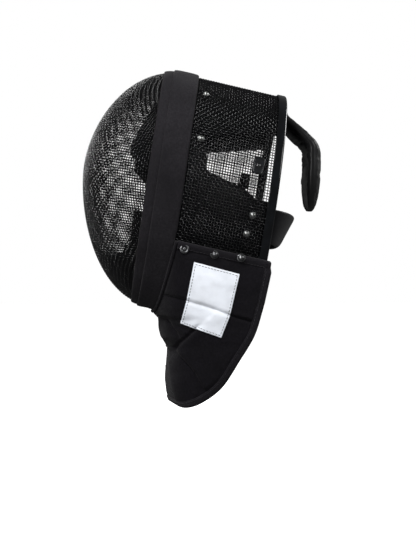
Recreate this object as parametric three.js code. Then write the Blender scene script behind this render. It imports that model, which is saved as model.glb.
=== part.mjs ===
// A fencing mask with its bib, held up as a head holds it. Millimetres, +Z up; the face looks
// along -Y and the wearer's left is +X. The origin is where the crown lining rests on the head.
import * as THREE from "three";

// The ring is the plane outline that the covered trim band follows: crown, sides and chin.
const RING_HALF_WIDTH = 98;
const RING_UP = 124;
const RING_DOWN = 150;
const RING_SIDE_POWER = 2.2; // superellipse powers: how square the sides, crown and chin are
const RING_CROWN_POWER = 1.9;
const RING_CHIN_POWER = 1.7;
const RING_TILT = 8.4; // degrees, crown towards the back
const RING_FORWARD = 69; // ring centre in front of the head seat
const FACE_DEPTH = 97.5; // how far the front mesh bulges out of the ring's plane
const SIDE_LENGTH = 124.5; // ring to rear rim, along the side wires
const SIDE_SLOPE = 12.6; // degrees, side wires down towards the back
const REAR_HALF_WIDTH = 90; // at the rear rim
const MESH_WALL = 2; // one wire over another
const CLEAR = 0.3; // air between neighbours that lie on each other
const LAP = 0.7; // the same between curved walls, whose flat facets don't match

const BAND_HALF_WIDTH = 20.2;
const BAND_WALL = 2.6;
const BAND_CHIN_REAR = 4; // rear edge of the band at the chin, behind the ring's plane
const PIPING_RADIUS = 2.1;

const BIB_TURN = 121; // degrees from the crown to the bib's side edge
const BIB_OVERHANG = 4.5; // how far the bib's side edge runs past the rear rim
const BIB_WALL = 4;
const BIB_LIFT = 3.1; // bib's inside over the mesh, clear of the rim
const BIB_HALF_WIDTH = 86;
const BIB_DROP = 168; // side edge's rear corner to the lowest point
const BIB_DEPTH = 110; // the same corner to the front of the hem
const BIB_CORNER_BACK = 1.2; // where the hem's line starts, behind and above the side edge's end
const BIB_CORNER_RISE = 5.2;
const BIB_THROAT_BULGE = 13; // front lobe under the chin, in front of the lower bib
const BIB_THROAT_Y = -70.2;
const BIB_WIDEST_Y = -5;
const BIB_SIDE_RUN = 60; // from the widest place back to the hem
const BIB_TUCK = 3; // how far the rear edges lean in
const BIB_POWER = 2.6;
const HEM_WIDTH = 7.5;
const HEM_PROUD = 0.6;

const RIM_WIDTH = 10;
const RIM_WALL = 1.6;

const CROWN_PAD = 12.1;
const CROWN_PAD_EDGE = 7;
const CHEEK_PAD = 9;
const FACE_PAD = 8;
const FACE_PAD_REACH = 40; // pads of the face opening, in front of the ring's plane
const PAD_GAP = 1; // rear end of the side linings to the rear rim

const LABEL_WIDTH = 51;
const LABEL_HEIGHT = 71;
const LABEL_WALL = 0.8;
const LABEL_CENTRE_Y = -22;
const LABEL_CENTRE_Z = -236;
const LABEL_LEAN = 14; // degrees

const TONGUE_WIDTH = 58;
const TONGUE_WALL = 12;
const TONGUE_ARM_RUN = 36; // rim to bend, backwards
const TONGUE_ARM_DROP = 60; // rim to bend, downwards
const TONGUE_TAIL = 64; // bend to tip

const STRAP_WIDTH = 43;
const STRAP_WALL = 2;
const STRAP_BULGE = 37; // how far its upper edge stands out behind its ends
const STRAP_LOW_BULGE = 22; // and its lower edge
const STRAP_DIP = 5; // how far it hangs lower at the back than at its ends
const STRAP_TURN = 98; // where its upper edge meets the rim

const RIVET_RADIUS = 3.6;
const RIVET_HEIGHT = 2.8;
const BIB_RIVET_RADIUS = 4.6;
const BIB_RIVET_HEIGHT = 3.6;
const PLATE_WIDTH = 13;
const PLATE_HEIGHT = 19;
const PLATE_WALL = 2.4;
const PLATE_RIM_GAP = 10;

const rad = THREE.MathUtils.degToRad;
const lerp = THREE.MathUtils.lerp;
const power = (base, p) => Math.sign(base) * Math.abs(base) ** p;

// A table's value at a place: rows of [place, value], straight between rows.
function tabled(rows, at) {
  const last = rows.length - 1;
  if (at <= rows[0][0]) return rows[0][1];
  if (at >= rows[last][0]) return rows[last][1];
  const i = rows.findIndex((row) => row[0] > at);
  const [a, b] = [rows[i - 1], rows[i]];
  return lerp(a[1], b[1], (at - a[0]) / (b[0] - a[0]));
}

// A point of the mask's skin: turn in degrees from the crown towards the wearer's left, depth
// behind the ring's plane (negative on the face), lift outwards from the mesh's outer side.
function local(turn, depth, lift) {
  const s = Math.sin(rad(turn));
  const c = Math.cos(rad(turn));
  const shrink = depth < 0 ? Math.sqrt(Math.max(0, 1 - (depth / FACE_DEPTH) ** 2)) : 1;
  const [reach, p] = c > 0 ? [RING_UP, RING_CROWN_POWER] : [RING_DOWN, RING_CHIN_POWER];
  const x = (RING_HALF_WIDTH + lift) * power(shrink * s, 2 / RING_SIDE_POWER);
  const v = (reach + lift) * power(shrink * c, 2 / p);
  const forward = depth < 0 ? (-depth * (FACE_DEPTH + lift)) / FACE_DEPTH : 0;
  const narrow = 1 - (1 - REAR_HALF_WIDTH / RING_HALF_WIDTH) * (Math.max(0, depth) / SIDE_LENGTH);
  const back = Math.max(0, depth);
  const [st, ct] = [Math.sin(rad(RING_TILT)), Math.cos(rad(RING_TILT))];
  const [ss, cs] = [Math.sin(rad(SIDE_SLOPE)), Math.cos(rad(SIDE_SLOPE))];
  return new THREE.Vector3(
    x * narrow,
    v * st - forward * ct + back * cs - RING_FORWARD,
    v * ct + forward * st - back * ss,
  );
}

// The bib's side edge ends past the rear rim.
const BIB_REACH = SIDE_LENGTH + BIB_OVERHANG;

// The ring's height follows from the seat: the crown lining's underside is at the origin.
const PAD_UNDERSIDE = -(MESH_WALL + LAP + CROWN_PAD);
const seatDepth = -local(0, 0, PAD_UNDERSIDE).y / Math.cos(rad(SIDE_SLOPE));
const ringHeight = -local(0, seatDepth, PAD_UNDERSIDE).z;
const skin = (turn, depth, lift) => local(turn, depth, lift).add(new THREE.Vector3(0, 0, ringHeight));

// Equal loops of points joined into one closed solid, capped across the wall or run round.
function loft(name, colour, roughness, metalness, loops, round = false) {
  const n = loops[0].length;
  const quads = [];
  const steps = round ? loops.length : loops.length - 1;
  for (let i = 0; i < steps; i++) {
    const j = (i + 1) % loops.length;
    for (let k = 0; k < n; k++) {
      const m = (k + 1) % n;
      quads.push([loops[i][k], loops[i][m], loops[j][m], loops[j][k]]);
    }
  }
  if (!round) {
    const [first, end] = [loops[0], loops[loops.length - 1]];
    for (let k = 0; k < n / 2 - 1; k++) {
      const m = n - 1 - k;
      quads.push([first[k], first[m], first[m - 1], first[k + 1]]);
      quads.push([end[k], end[k + 1], end[m - 1], end[m]]);
    }
  }
  const keys = new Map();
  const points = [];
  const numberOf = (p) => {
    const key = p.toArray().map((v) => Math.round(v * 1000)).join();
    if (!keys.has(key)) {
      keys.set(key, points.length);
      points.push(p);
    }
    return keys.get(key);
  };
  const index = [];
  for (const quad of quads) {
    const [a, b, c, d] = quad.map(numberOf);
    for (const [p, q, r] of [[a, b, c], [a, c, d]]) {
      if (p !== q && q !== r && r !== p) index.push(p, q, r);
    }
  }
  let volume = 0;
  for (let i = 0; i < index.length; i += 3) {
    const [p, q, r] = index.slice(i, i + 3).map((v) => points[v]);
    volume += p.dot(q.clone().cross(r));
  }
  if (volume < 0) index.reverse();
  const geometry = new THREE.BufferGeometry().setFromPoints(points);
  geometry.setIndex(index);
  geometry.computeVertexNormals();
  const material = new THREE.MeshStandardMaterial({ color: colour, roughness, metalness });
  const mesh = new THREE.Mesh(geometry, material);
  mesh.name = name;
  return mesh;
}

const range = (count, from, to) =>
  Array.from({ length: count + 1 }, (_, i) => lerp(from, to, i / count));

// A wall between two faces, drawn along one line of places: outer face there, inner face back.
const wall = (places, outer, inner) => [...places.map(outer), ...places.map(inner).reverse()];

const SIDES = [["left", 1], ["right", -1]];
const group = new THREE.Group();
group.name = "fencing_mask";
const WIRE = [0x141416, 0.45, 0.7];
const CLOTH = [0x17151a, 0.95, 0];
const GLOSS = [0x0b0c0e, 0.25, 0.1];
const STUD = [0x3a3c3e, 0.3, 0.9];

// Wire meshes.
const AROUND = 52;
const FACE_ROWS = 11;
const ringTurns = Array.from({ length: AROUND }, (_, i) => (360 * i) / AROUND);
const faceDepths = range(FACE_ROWS, 90, 0).map((a) => -FACE_DEPTH * Math.sin(rad(a)) - CLEAR);
faceDepths[0] = -FACE_DEPTH;
group.add(
  loft(
    "front_mesh",
    ...WIRE,
    ringTurns.map((turn) =>
      wall(faceDepths, (d) => skin(turn, d, 0), (d) => skin(turn, d, -MESH_WALL)),
    ),
    true,
  ),
);
const MESH_REAR = SIDE_LENGTH - RIM_WALL - CLEAR;
const SIDE_STEPS = Math.round((AROUND * (BIB_TURN + 3)) / 360); // under the bib's edge tape
const sideEnd = (360 * SIDE_STEPS) / AROUND;
const sideTurns = range(2 * SIDE_STEPS, -sideEnd, sideEnd);
const sideDepths = range(6, CLEAR, MESH_REAR);
group.add(
  loft(
    "side_mesh",
    ...WIRE,
    sideTurns.map((turn) =>
      wall(sideDepths, (d) => skin(turn, d, 0), (d) => skin(turn, d, -MESH_WALL)),
    ),
  ),
);

// Trim band round the whole ring; past the bib's edge it narrows to the chin.
const BAND_TURN = BIB_TURN - 4;
function bandRear(turn) {
  const fromCrown = turn > 180 ? 360 - turn : turn;
  const share = Math.max(0, (fromCrown - BAND_TURN) / (180 - BAND_TURN));
  return lerp(BAND_HALF_WIDTH, BAND_CHIN_REAR, share);
}
const BAND_SECTION = [ // [share of the half width, share of the wall]
  [-1, 0.35],
  [-0.8, 0.85],
  [-0.42, 1],
  [-0.3, 0.88],
  [0.35, 1],
  [0.8, 0.85],
  [1, 0.35],
];
const bandDepth = (turn, share) =>
  lerp(-BAND_HALF_WIDTH, bandRear(turn), (share + 1) / 2);
group.add(
  loft(
    "trim_band",
    ...CLOTH,
    ringTurns.map((turn) =>
      wall(
        BAND_SECTION,
        ([share, height]) => skin(turn, bandDepth(turn, share), LAP + BAND_WALL * height),
        ([share]) => skin(turn, bandDepth(turn, share), LAP),
      ),
    ),
    true,
  ),
);

// Rear rim: a channel that grips the edge of the side mesh.
const RIM_OUT = CLEAR + RIM_WALL;
const RIM_IN = -(MESH_WALL + CLEAR + RIM_WALL);
const rimStart = SIDE_LENGTH - RIM_WIDTH;
const rimLoop = (turn) => [
  skin(turn, rimStart, RIM_OUT),
  skin(turn, SIDE_LENGTH - RIM_WALL / 3, RIM_OUT),
  skin(turn, SIDE_LENGTH, RIM_OUT - RIM_WALL / 3),
  skin(turn, SIDE_LENGTH, RIM_IN),
  skin(turn, rimStart, RIM_IN),
  skin(turn, rimStart, RIM_IN + RIM_WALL),
  skin(turn, SIDE_LENGTH - RIM_WALL, RIM_IN + RIM_WALL),
  skin(turn, SIDE_LENGTH - RIM_WALL, (RIM_IN + RIM_OUT) / 2),
  skin(turn, SIDE_LENGTH - RIM_WALL, RIM_OUT - RIM_WALL),
  skin(turn, rimStart, RIM_OUT - RIM_WALL),
];
group.add(
  loft("rear_rim", ...GLOSS, sideTurns.map(rimLoop)),
);

// The bib as a sheet: across is 0 at the front midline and 1 at the rear edge, down is 0 at the
// seam with the mask and 1 at the hem, inset is measured inwards from the outer face.
const FRONT_LINE = [ // [share of the drop, share of the throat bulge]
  [0.2, -1.3],
  [0.38, -1],
  [0.405, -0.6],
  [0.44, -0.52],
  [0.53, -0.34],
  [0.594, 0.23],
  [0.665, 0.14],
  [0.84, 0],
  [0.95, 0.14],
  [1, 0.55],
];
const WIDTH_LINE = [ // [share of the drop, share of the half width]
  [0, 1],
  [0.35, 0.96],
  [0.7, 0.93],
  [1, 0.88],
];
const HEM_LINE = [ // [share of the depth from the rear corner, share of the drop]
  [1, 0.996],
  [0.91, 1],
  [0.76, 0.966],
  [0.55, 0.868],
  [0.375, 0.708],
  [0.195, 0.528],
  [0.097, 0.343],
  [0.054, 0.217],
  [0.016, 0.07],
];
const sideEdgeEnd = skin(BIB_TURN, BIB_REACH, BIB_LIFT + BIB_WALL);
const BIB_CORNER_Y = sideEdgeEnd.y + BIB_CORNER_BACK;
const BIB_CORNER_Z = sideEdgeEnd.z + BIB_CORNER_RISE;
const dropShare = (z) => (BIB_CORNER_Z - z) / BIB_DROP;
const frontY = (z) => BIB_THROAT_Y + BIB_THROAT_BULGE * tabled(FRONT_LINE, dropShare(z));
const halfWidth = (z) => BIB_HALF_WIDTH * tabled(WIDTH_LINE, dropShare(z));

// Place q on the bib's cross-section: 0 at the front midline, 1 at its widest, past 1 behind it.
function placeOf(y, z) {
  const front = (BIB_WIDEST_Y - y) / (BIB_WIDEST_Y - frontY(z));
  if (front <= 0) return 1 - (front * (BIB_WIDEST_Y - frontY(z))) / BIB_SIDE_RUN;
  return Math.acos(Math.min(1, front) ** (BIB_POWER / 2)) / (Math.PI / 2);
}
function apron(q, z, inset) {
  const a = halfWidth(z) - inset;
  const b = BIB_WIDEST_Y - frontY(z) - inset;
  if (q > 1) {
    return new THREE.Vector3(a - BIB_TUCK * (q - 1) ** 2, BIB_WIDEST_Y + (q - 1) * BIB_SIDE_RUN, z);
  }
  const s = Math.sin((q * Math.PI) / 2);
  const c = Math.max(0, Math.cos((q * Math.PI) / 2));
  return new THREE.Vector3(
    a * s ** (2 / BIB_POWER),
    BIB_WIDEST_Y - b * c ** (2 / BIB_POWER),
    z,
  );
}
const BIB_COLUMNS = 18;
const FRONT_COLUMNS = 8; // of them, those that hang from the piped front seam
const BIB_ROWS = 12;
const FRONT_SHARE = FRONT_COLUMNS / BIB_COLUMNS;
const turnsOf = (length) => length / (rad(1) * RING_DOWN); // degrees along the skin's side
const SHEET_TURN = BIB_TURN + turnsOf(HEM_WIDTH); // the sheet starts below its edge tape
const SHEET_REACH = BIB_REACH - HEM_WIDTH;
const seamDepth = (turn) => bandRear(turn) + 2 * PIPING_RADIUS + CLEAR + LAP;
function seamPoint(across, inset) {
  const lift = BIB_LIFT + BIB_WALL - inset;
  if (across <= FRONT_SHARE) {
    const turn = lerp(180, SHEET_TURN, across / FRONT_SHARE);
    return skin(turn, seamDepth(turn), lift);
  }
  const share = (across - FRONT_SHARE) / (1 - FRONT_SHARE);
  return skin(SHEET_TURN, lerp(seamDepth(SHEET_TURN), SHEET_REACH, share), lift);
}
const hemLengths = [0];
for (let i = 1; i < HEM_LINE.length; i++) {
  const [a, b] = [HEM_LINE[i - 1], HEM_LINE[i]];
  hemLengths.push(
    hemLengths[i - 1] + Math.hypot((a[0] - b[0]) * BIB_DEPTH, (a[1] - b[1]) * BIB_DROP),
  );
}
function hemPoint(across) {
  const length = across * hemLengths[hemLengths.length - 1];
  const column = (k) => HEM_LINE.map((row, i) => [hemLengths[i], row[k]]);
  const y = BIB_CORNER_Y - BIB_DEPTH * tabled(column(0), length);
  const z = BIB_CORNER_Z - BIB_DROP * tabled(column(1), length);
  return [y, z];
}
// The hem line is the edge tape's outer edge; the sheet stops short of it by the tape's width.
const HEM_MIDDLE_Y = -20;
const HEM_MIDDLE_Z = -230;
function bib(across, down, inset) {
  const seam = seamPoint(across, inset);
  const [edgeY, edgeZ] = hemPoint(across);
  const inwards = new THREE.Vector2(HEM_MIDDLE_Y - edgeY, HEM_MIDDLE_Z - edgeZ).setLength(HEM_WIDTH);
  const hemY = across === 0 ? edgeY : edgeY + inwards.x;
  const hemZ = edgeZ + (across === 0 ? HEM_WIDTH : inwards.y);
  const hemPlace = across === 0 ? 0 : placeOf(hemY, hemZ);
  const seamPlace = across === 0 ? 0 : placeOf(seam.y, seam.z);
  const pull = seam.clone().sub(apron(seamPlace, seam.z, inset));
  return apron(lerp(seamPlace, hemPlace, down), lerp(seam.z, hemZ, down), inset)
    .addScaledVector(pull, (1 - down) ** 2);
}
const mirror = (p) => new THREE.Vector3(-p.x, p.y, p.z);
const across = range(2 * BIB_COLUMNS, -1, 1);
const down = range(BIB_ROWS, 0, 1);
const onSide = (share, make) => (share < 0 ? mirror(make(-share)) : make(share));
group.add(
  loft(
    "bib",
    ...CLOTH,
    across.map((u) =>
      wall(
        down,
        (v) => onSide(u, (s) => bib(s, v, 0)),
        (v) => onSide(u, (s) => bib(s, v, BIB_WALL)),
      ),
    ),
  ),
);

// Edge tape of the bib, from one front seam round the hem to the other.
function edgeFrame(u, v) {
  const step = 0.002;
  const [u0, u1] = [Math.max(0, u - step), Math.min(1, u + step)];
  const [v0, v1] = [Math.max(0, v - step), Math.min(1, v + step)];
  const along = bib(u1, v, 0).sub(bib(u0, v, 0)).normalize();
  const fall = bib(u, v1, 0).sub(bib(u, v0, 0)).normalize();
  if (u === 0) along.set(1, 0, 0);
  const normal = fall.clone().cross(along).normalize();
  return { along, fall, normal };
}
const TAPE_HIGH = BIB_LIFT + BIB_WALL + HEM_PROUD;
const TAPE_LOW = BIB_LIFT - HEM_PROUD;
const SOFTEN = HEM_PROUD / 2;
const topTape = (nearTurn, nearDepth, farTurn, farDepth) => [
  skin(nearTurn, nearDepth, TAPE_HIGH),
  skin(farTurn, farDepth, TAPE_HIGH - SOFTEN),
  skin(farTurn, farDepth, TAPE_LOW + SOFTEN),
  skin(nearTurn, nearDepth, TAPE_LOW),
];
function hemTape(u) {
  const { along, fall, normal } = edgeFrame(u, 1);
  const outwards = fall.clone().addScaledVector(along, -fall.dot(along)).normalize();
  const place = (inset, out, lift) =>
    bib(u, 1, inset).addScaledVector(outwards, out).addScaledVector(normal, lift);
  return [
    place(0, CLEAR, HEM_PROUD),
    place(0, HEM_WIDTH, HEM_PROUD - SOFTEN),
    place(BIB_WALL, HEM_WIDTH, SOFTEN - HEM_PROUD),
    place(BIB_WALL, CLEAR, -HEM_PROUD),
  ];
}
const nearTurn = SHEET_TURN - turnsOf(CLEAR);
const tape = range(BIB_COLUMNS - FRONT_COLUMNS, seamDepth(BIB_TURN), SHEET_REACH).map((depth) =>
  topTape(nearTurn, depth, BIB_TURN, depth),
);
tape.push(topTape(nearTurn, SHEET_REACH + CLEAR, BIB_TURN, BIB_REACH));
tape.push(topTape(SHEET_TURN, SHEET_REACH + CLEAR, SHEET_TURN, BIB_REACH));
tape.push(...range(BIB_COLUMNS, 1, 0).map(hemTape));
const otherTape = tape.slice(0, -1).reverse().map((loop) => loop.map(mirror));
group.add(loft("bib_hem", ...CLOTH, [...tape, ...otherTape]));

// Piping: the raised seam between the band and the bib, round the chin.
const PIPING_SIDES = 6;
const pipingDepth = (turn) => bandRear(turn) + CLEAR + PIPING_RADIUS;
const PIPING_LIFT = BIB_LIFT + BIB_WALL / 2;
const pipingLoop = (turn) =>
  Array.from({ length: PIPING_SIDES }, (_, k) => {
    const a = rad((360 * (k + 0.5)) / PIPING_SIDES);
    return skin(
      turn,
      pipingDepth(turn) + PIPING_RADIUS * Math.cos(a),
      PIPING_LIFT + PIPING_RADIUS * Math.sin(a),
    );
  });
group.add(
  loft("bib_piping", ...CLOTH, range(30, BIB_TURN + 1, 359 - BIB_TURN).map(pipingLoop)),
);

// Lining pads inside the mesh; the side window between crown and cheek pads stays open.
const PAD_LIFT = -(MESH_WALL + LAP);
const PAD_REAR = SIDE_LENGTH - RIM_WIDTH - PAD_GAP;
const PAD_FRONT = 2 * CLEAR; // half of the gap to the pads of the face opening
const CROWN_EDGE = [ // [share of the side length, share of the quarter turn]
  [0, 0.71],
  [0.32, 0.71],
  [0.63, 0.65],
  [0.95, 0.58],
];
const CHEEK_EDGE = [ // the cheek pad's upper edge, the same way
  [0, 0.73],
  [0.315, 0.73],
  [0.33, 0.935],
  [0.6, 0.98],
  [0.68, 0.99],
  [0.77, 1.035],
  [0.81, 1.055],
  [0.95, 1.055],
];
const QUARTER = 90;
const padDepths = (count) => range(count, PAD_FRONT, PAD_REAR);
const edgeThin = (share, full, edge) => lerp(full, edge, Math.abs(share) ** 4);
const crownPoint = (share, d, inner) => {
  const turn = share * QUARTER * tabled(CROWN_EDGE, d / SIDE_LENGTH);
  return skin(turn, d, PAD_LIFT - (inner ? edgeThin(share, CROWN_PAD, CROWN_PAD_EDGE) : 0));
};
group.add(
  loft(
    "crown_pad",
    ...CLOTH,
    padDepths(7).map((d) =>
      wall(range(12, -1, 1), (s) => crownPoint(s, d, false), (s) => crownPoint(s, d, true)),
    ),
  ),
);
const CHEEK_END_TURN = 128;
const cheekShares = [0.15, 0.315, 0.33, 0.46, 0.6, 0.68, 0.77, 0.81];
for (const [side, sign] of SIDES) {
  const cheekPoint = (share, d, inner) => {
    const turn = lerp(QUARTER * tabled(CHEEK_EDGE, d / SIDE_LENGTH), CHEEK_END_TURN, share);
    const wallHere = edgeThin(2 * share - 1, CHEEK_PAD, CHEEK_PAD / 2);
    return skin(sign * turn, d, PAD_LIFT - (inner ? wallHere : 0));
  };
  const depths = [PAD_FRONT, ...cheekShares.map((share) => share * SIDE_LENGTH), PAD_REAR];
  group.add(
    loft(
      "cheek_pad_" + side,
      ...CLOTH,
      depths.map((d) =>
        wall(range(7, 0, 1), (s) => cheekPoint(s, d, false), (s) => cheekPoint(s, d, true)),
      ),
    ),
  );
}
const BROW_REACH = [ // [turn either way from the crown, share of the reach]
  [0, 0.5],
  [45, 0.55],
  [77, 1.12],
  [83, 1.08],
  [92, 0.55],
];
const CHIN_REACH = [
  [113, 0.75],
  [130, 0.78],
  [137, 0.9],
  [150, 1.45],
  [165, 1.68],
  [180, 1.75],
];
const BROW_END_TURN = BROW_REACH[BROW_REACH.length - 1][0];
const CHIN_START_TURN = CHIN_REACH[0][0];
function facePad(name, from, to, reaches) {
  const loops = range(20, from, to).map((turn) => {
    const reach = FACE_PAD_REACH * tabled(reaches, 180 - Math.abs(180 - Math.abs(turn)));
    const places = range(4, -PAD_FRONT, -reach);
    const thin = (d) => FACE_PAD * (1 - 0.5 * (d / reach) ** 4);
    return wall(places, (d) => skin(turn, d, PAD_LIFT), (d) => skin(turn, d, PAD_LIFT - thin(d)));
  });
  group.add(loft(name, ...CLOTH, loops));
}
facePad("brow_pad", -BROW_END_TURN, BROW_END_TURN, BROW_REACH);
facePad("chin_pad", CHIN_START_TURN, 360 - CHIN_START_TURN, CHIN_REACH);

// Label sewn to the left side of the bib, bare, with the crease of the bib's fold across it.
function bibSide(y, z, lift) {
  const miss = (u, v) => {
    const at = bib(u, v, 0);
    return Math.hypot(at.y - y, at.z - z);
  };
  let best = [0.6, 0.4];
  for (let reach = 0.36; reach > 1e-4; reach *= 0.6) {
    const [u0, v0] = best;
    for (const u of range(4, u0 - reach, u0 + reach)) {
      for (const v of range(4, v0 - reach, v0 + reach)) {
        const inside = u > 0.1 && u < 0.97 && v > 0.02 && v < 0.97;
        if (inside && miss(u, v) < miss(...best)) best = [u, v];
      }
    }
  }
  return bib(...best, -lift);
}
const LABEL_CREASE = 0.66; // share of its height at which the bib's fold crosses it
const LABEL_FOLD = 5; // degrees, lower part turned further
const LABEL_LIFT = 1.3; // the bib is faceted under it
function labelPoint(i, j, lift) {
  const lean = rad(LABEL_LEAN);
  const a = (i - 0.5) * LABEL_WIDTH;
  const b = (0.5 - j) * LABEL_HEIGHT;
  const low = Math.max(0, j - LABEL_CREASE) * LABEL_HEIGHT;
  const y = LABEL_CENTRE_Y + a * Math.cos(lean) + b * Math.sin(lean) - low * Math.sin(rad(LABEL_FOLD));
  const z = LABEL_CENTRE_Z - a * Math.sin(lean) + b * Math.cos(lean);
  return bibSide(y, z, lift);
}
group.add(
  loft(
    "label",
    0xe9ebf0,
    0.8,
    0,
    range(10, 0, 1).map((i) =>
      wall(
        [0, 0.13, 0.26, 0.39, 0.52, LABEL_CREASE, 0.78, 0.89, 1],
        (j) => labelPoint(i, j, LABEL_LIFT + LABEL_WALL),
        (j) => labelPoint(i, j, LABEL_LIFT),
      ),
    ),
  ),
);

// Spring tongue: an arm from inside the rim's crown down to the bend, then a padded tail.
const TONGUE_LINE = [ // [share of the arm's run, share of its drop, share of the wall, of the width]
  [0, 0, 0.4, 0.82],
  [0.01, 0.12, 0.7, 0.88],
  [0.08, 0.31, 1.05, 0.94],
  [0.51, 0.56, 1.15, 1],
  [0.79, 0.72, 1.2, 1],
  [0.96, 0.86, 1.3, 1],
];
const TONGUE_TAIL_LINE = [ // [share of the tail, lean forwards as a share of it, wall, width]
  [0.1, 0, 1.3, 1],
  [0.4, 0.01, 1.3, 1],
  [0.65, 0.02, 1.15, 0.93],
  [0.85, 0.03, 0.85, 0.76],
  [0.96, 0.03, 0.55, 0.55],
  [1, 0.025, 0.25, 0.4],
];
const rimSide = skin(13.5, SIDE_LENGTH, RIM_IN); // the rim's inside over the tongue's edge
const start = new THREE.Vector3(0, rimSide.y - TONGUE_WALL / 4, rimSide.z - LAP);
const bend = start.clone().add(new THREE.Vector3(0, TONGUE_ARM_RUN, -TONGUE_ARM_DROP));
const spine = [
  ...TONGUE_LINE.map(([run, drop, thick, wide]) => ({
    at: start.clone().add(new THREE.Vector3(0, run * TONGUE_ARM_RUN, -drop * TONGUE_ARM_DROP)),
    thick,
    wide,
  })),
  ...TONGUE_TAIL_LINE.map(([share, lean, thick, wide]) => ({
    at: bend.clone().add(new THREE.Vector3(0, -lean * TONGUE_TAIL, -share * TONGUE_TAIL)),
    thick,
    wide,
  })),
];
const TONGUE_SECTION = [ // [share of the half width, share of the half wall], outer side first
  [-1, 0],
  [-0.88, 0.75],
  [-0.4, 1],
  [0.4, 1],
  [0.88, 0.75],
  [1, 0],
  [0.88, -0.75],
  [0.4, -1],
  [-0.4, -1],
  [-0.88, -0.75],
];
const tongueLoops = spine.map(({ at, thick, wide }, i) => {
  const before = spine[Math.max(0, i - 1)].at;
  const after = spine[Math.min(spine.length - 1, i + 1)].at;
  const way = after.clone().sub(before).normalize();
  const outwards = new THREE.Vector3(0, -way.z, way.y);
  return TONGUE_SECTION.map(([a, b]) =>
    at
      .clone()
      .add(new THREE.Vector3((a * wide * TONGUE_WIDTH) / 2, 0, 0))
      .addScaledVector(outwards, (b * thick * TONGUE_WALL) / 2),
  );
});
group.add(loft("tongue", ...CLOTH, tongueLoops));

// Strap behind the head, from one side of the rim to the other, inside its channel.
const STRAP_END_ANGLE = 84;
const strapLowTurn = STRAP_TURN + turnsOf(STRAP_WIDTH);
function strapPoint(angle, share, lift) {
  const turn = lerp(STRAP_TURN, strapLowTurn, share);
  const end = skin(turn, SIDE_LENGTH - RIM_WIDTH / 2, RIM_IN - LAP);
  const a = rad(angle);
  const bulge = lerp(STRAP_BULGE, STRAP_LOW_BULGE, share) + lift;
  return new THREE.Vector3(
    ((end.x + lift) * Math.sin(a)) / Math.sin(rad(STRAP_END_ANGLE)),
    end.y + bulge * Math.cos(a),
    end.z - STRAP_DIP * Math.cos(a),
  );
}
group.add(
  loft(
    "back_strap",
    ...CLOTH,
    range(20, -STRAP_END_ANGLE, STRAP_END_ANGLE).map((angle) =>
      wall([0, 0.5, 1], (s) => strapPoint(angle, s, 0), (s) => strapPoint(angle, s, -STRAP_WALL)),
    ),
  ),
);

// A small turned or cut piece on a surface: its foot, and directions back, up and out.
function footing(at, along, round) {
  const out = round.clone().cross(along).normalize();
  const ahead = along.clone().normalize();
  return { at, ahead, up: out.clone().cross(ahead), out };
}
function meshFooting(turn, depth) {
  const at = skin(turn, depth, LAP);
  return footing(at, skin(turn, depth + 1, LAP).sub(at), skin(turn + 1, depth, LAP).sub(at));
}
function bibFooting(depth, share) {
  const first = seamDepth(SHEET_TURN);
  const u = lerp(FRONT_SHARE, 1, (depth - first) / (SHEET_REACH - first));
  const high = skin(BIB_TURN, depth, TAPE_HIGH);
  const low = bib(u, 0.08, HEM_PROUD);
  const foot = footing(high.clone().lerp(low, share), edgeFrame(u, 0).along, low.clone().sub(high));
  foot.at.addScaledVector(foot.out, CLEAR);
  return foot;
}
const fixed = ({ at, ahead, up, out }, sign, a, b, h) => {
  const p = at.clone().addScaledVector(ahead, a).addScaledVector(up, b).addScaledVector(out, h);
  return sign > 0 ? p : mirror(p);
};
const RIVETS = [ // [name, turn, share of the side length behind the ring]
  ["rivet_crown", 37.6, 0.243],
  ["rivet_temple", 68.3, 0.25],
  ["rivet_rear_upper", 102.9, 0.803],
  ["rivet_rear_lower", 111.8, 0.774],
];
const BIB_RIVETS = [ // [name, share of the bib's side edge, share of the way down the tape]
  ["bib_snap", 0.221, 0.43],
  ["bib_rivet_front", 0.473, 0.45],
  ["bib_rivet_rear", 0.729, 0.2],
];
const RIVET_PROFILE = [ // [share of the radius, share of the height]
  [0, 1],
  [0.5, 0.9],
  [0.86, 0.55],
  [1, 0],
  [0, 0],
];
const RIVET_SIDES = 10;
function rivet(name, foot, sign, radius, height) {
  const loops = Array.from({ length: RIVET_SIDES }, (_, k) => {
    const a = (2 * Math.PI * k) / RIVET_SIDES;
    return RIVET_PROFILE.map(([r, h]) =>
      fixed(foot, sign, r * radius * Math.cos(a), r * radius * Math.sin(a), h * height),
    );
  });
  group.add(loft(name, ...STUD, loops, true));
}
for (const [side, sign] of SIDES) {
  for (const [name, turn, share] of RIVETS) {
    rivet(name + "_" + side, meshFooting(turn, share * SIDE_LENGTH), sign, RIVET_RADIUS, RIVET_HEIGHT);
  }
  for (const [name, along, share] of BIB_RIVETS) {
    rivet(name + "_" + side, bibFooting(along * BIB_REACH, share), sign, BIB_RIVET_RADIUS, BIB_RIVET_HEIGHT);
  }
}

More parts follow.
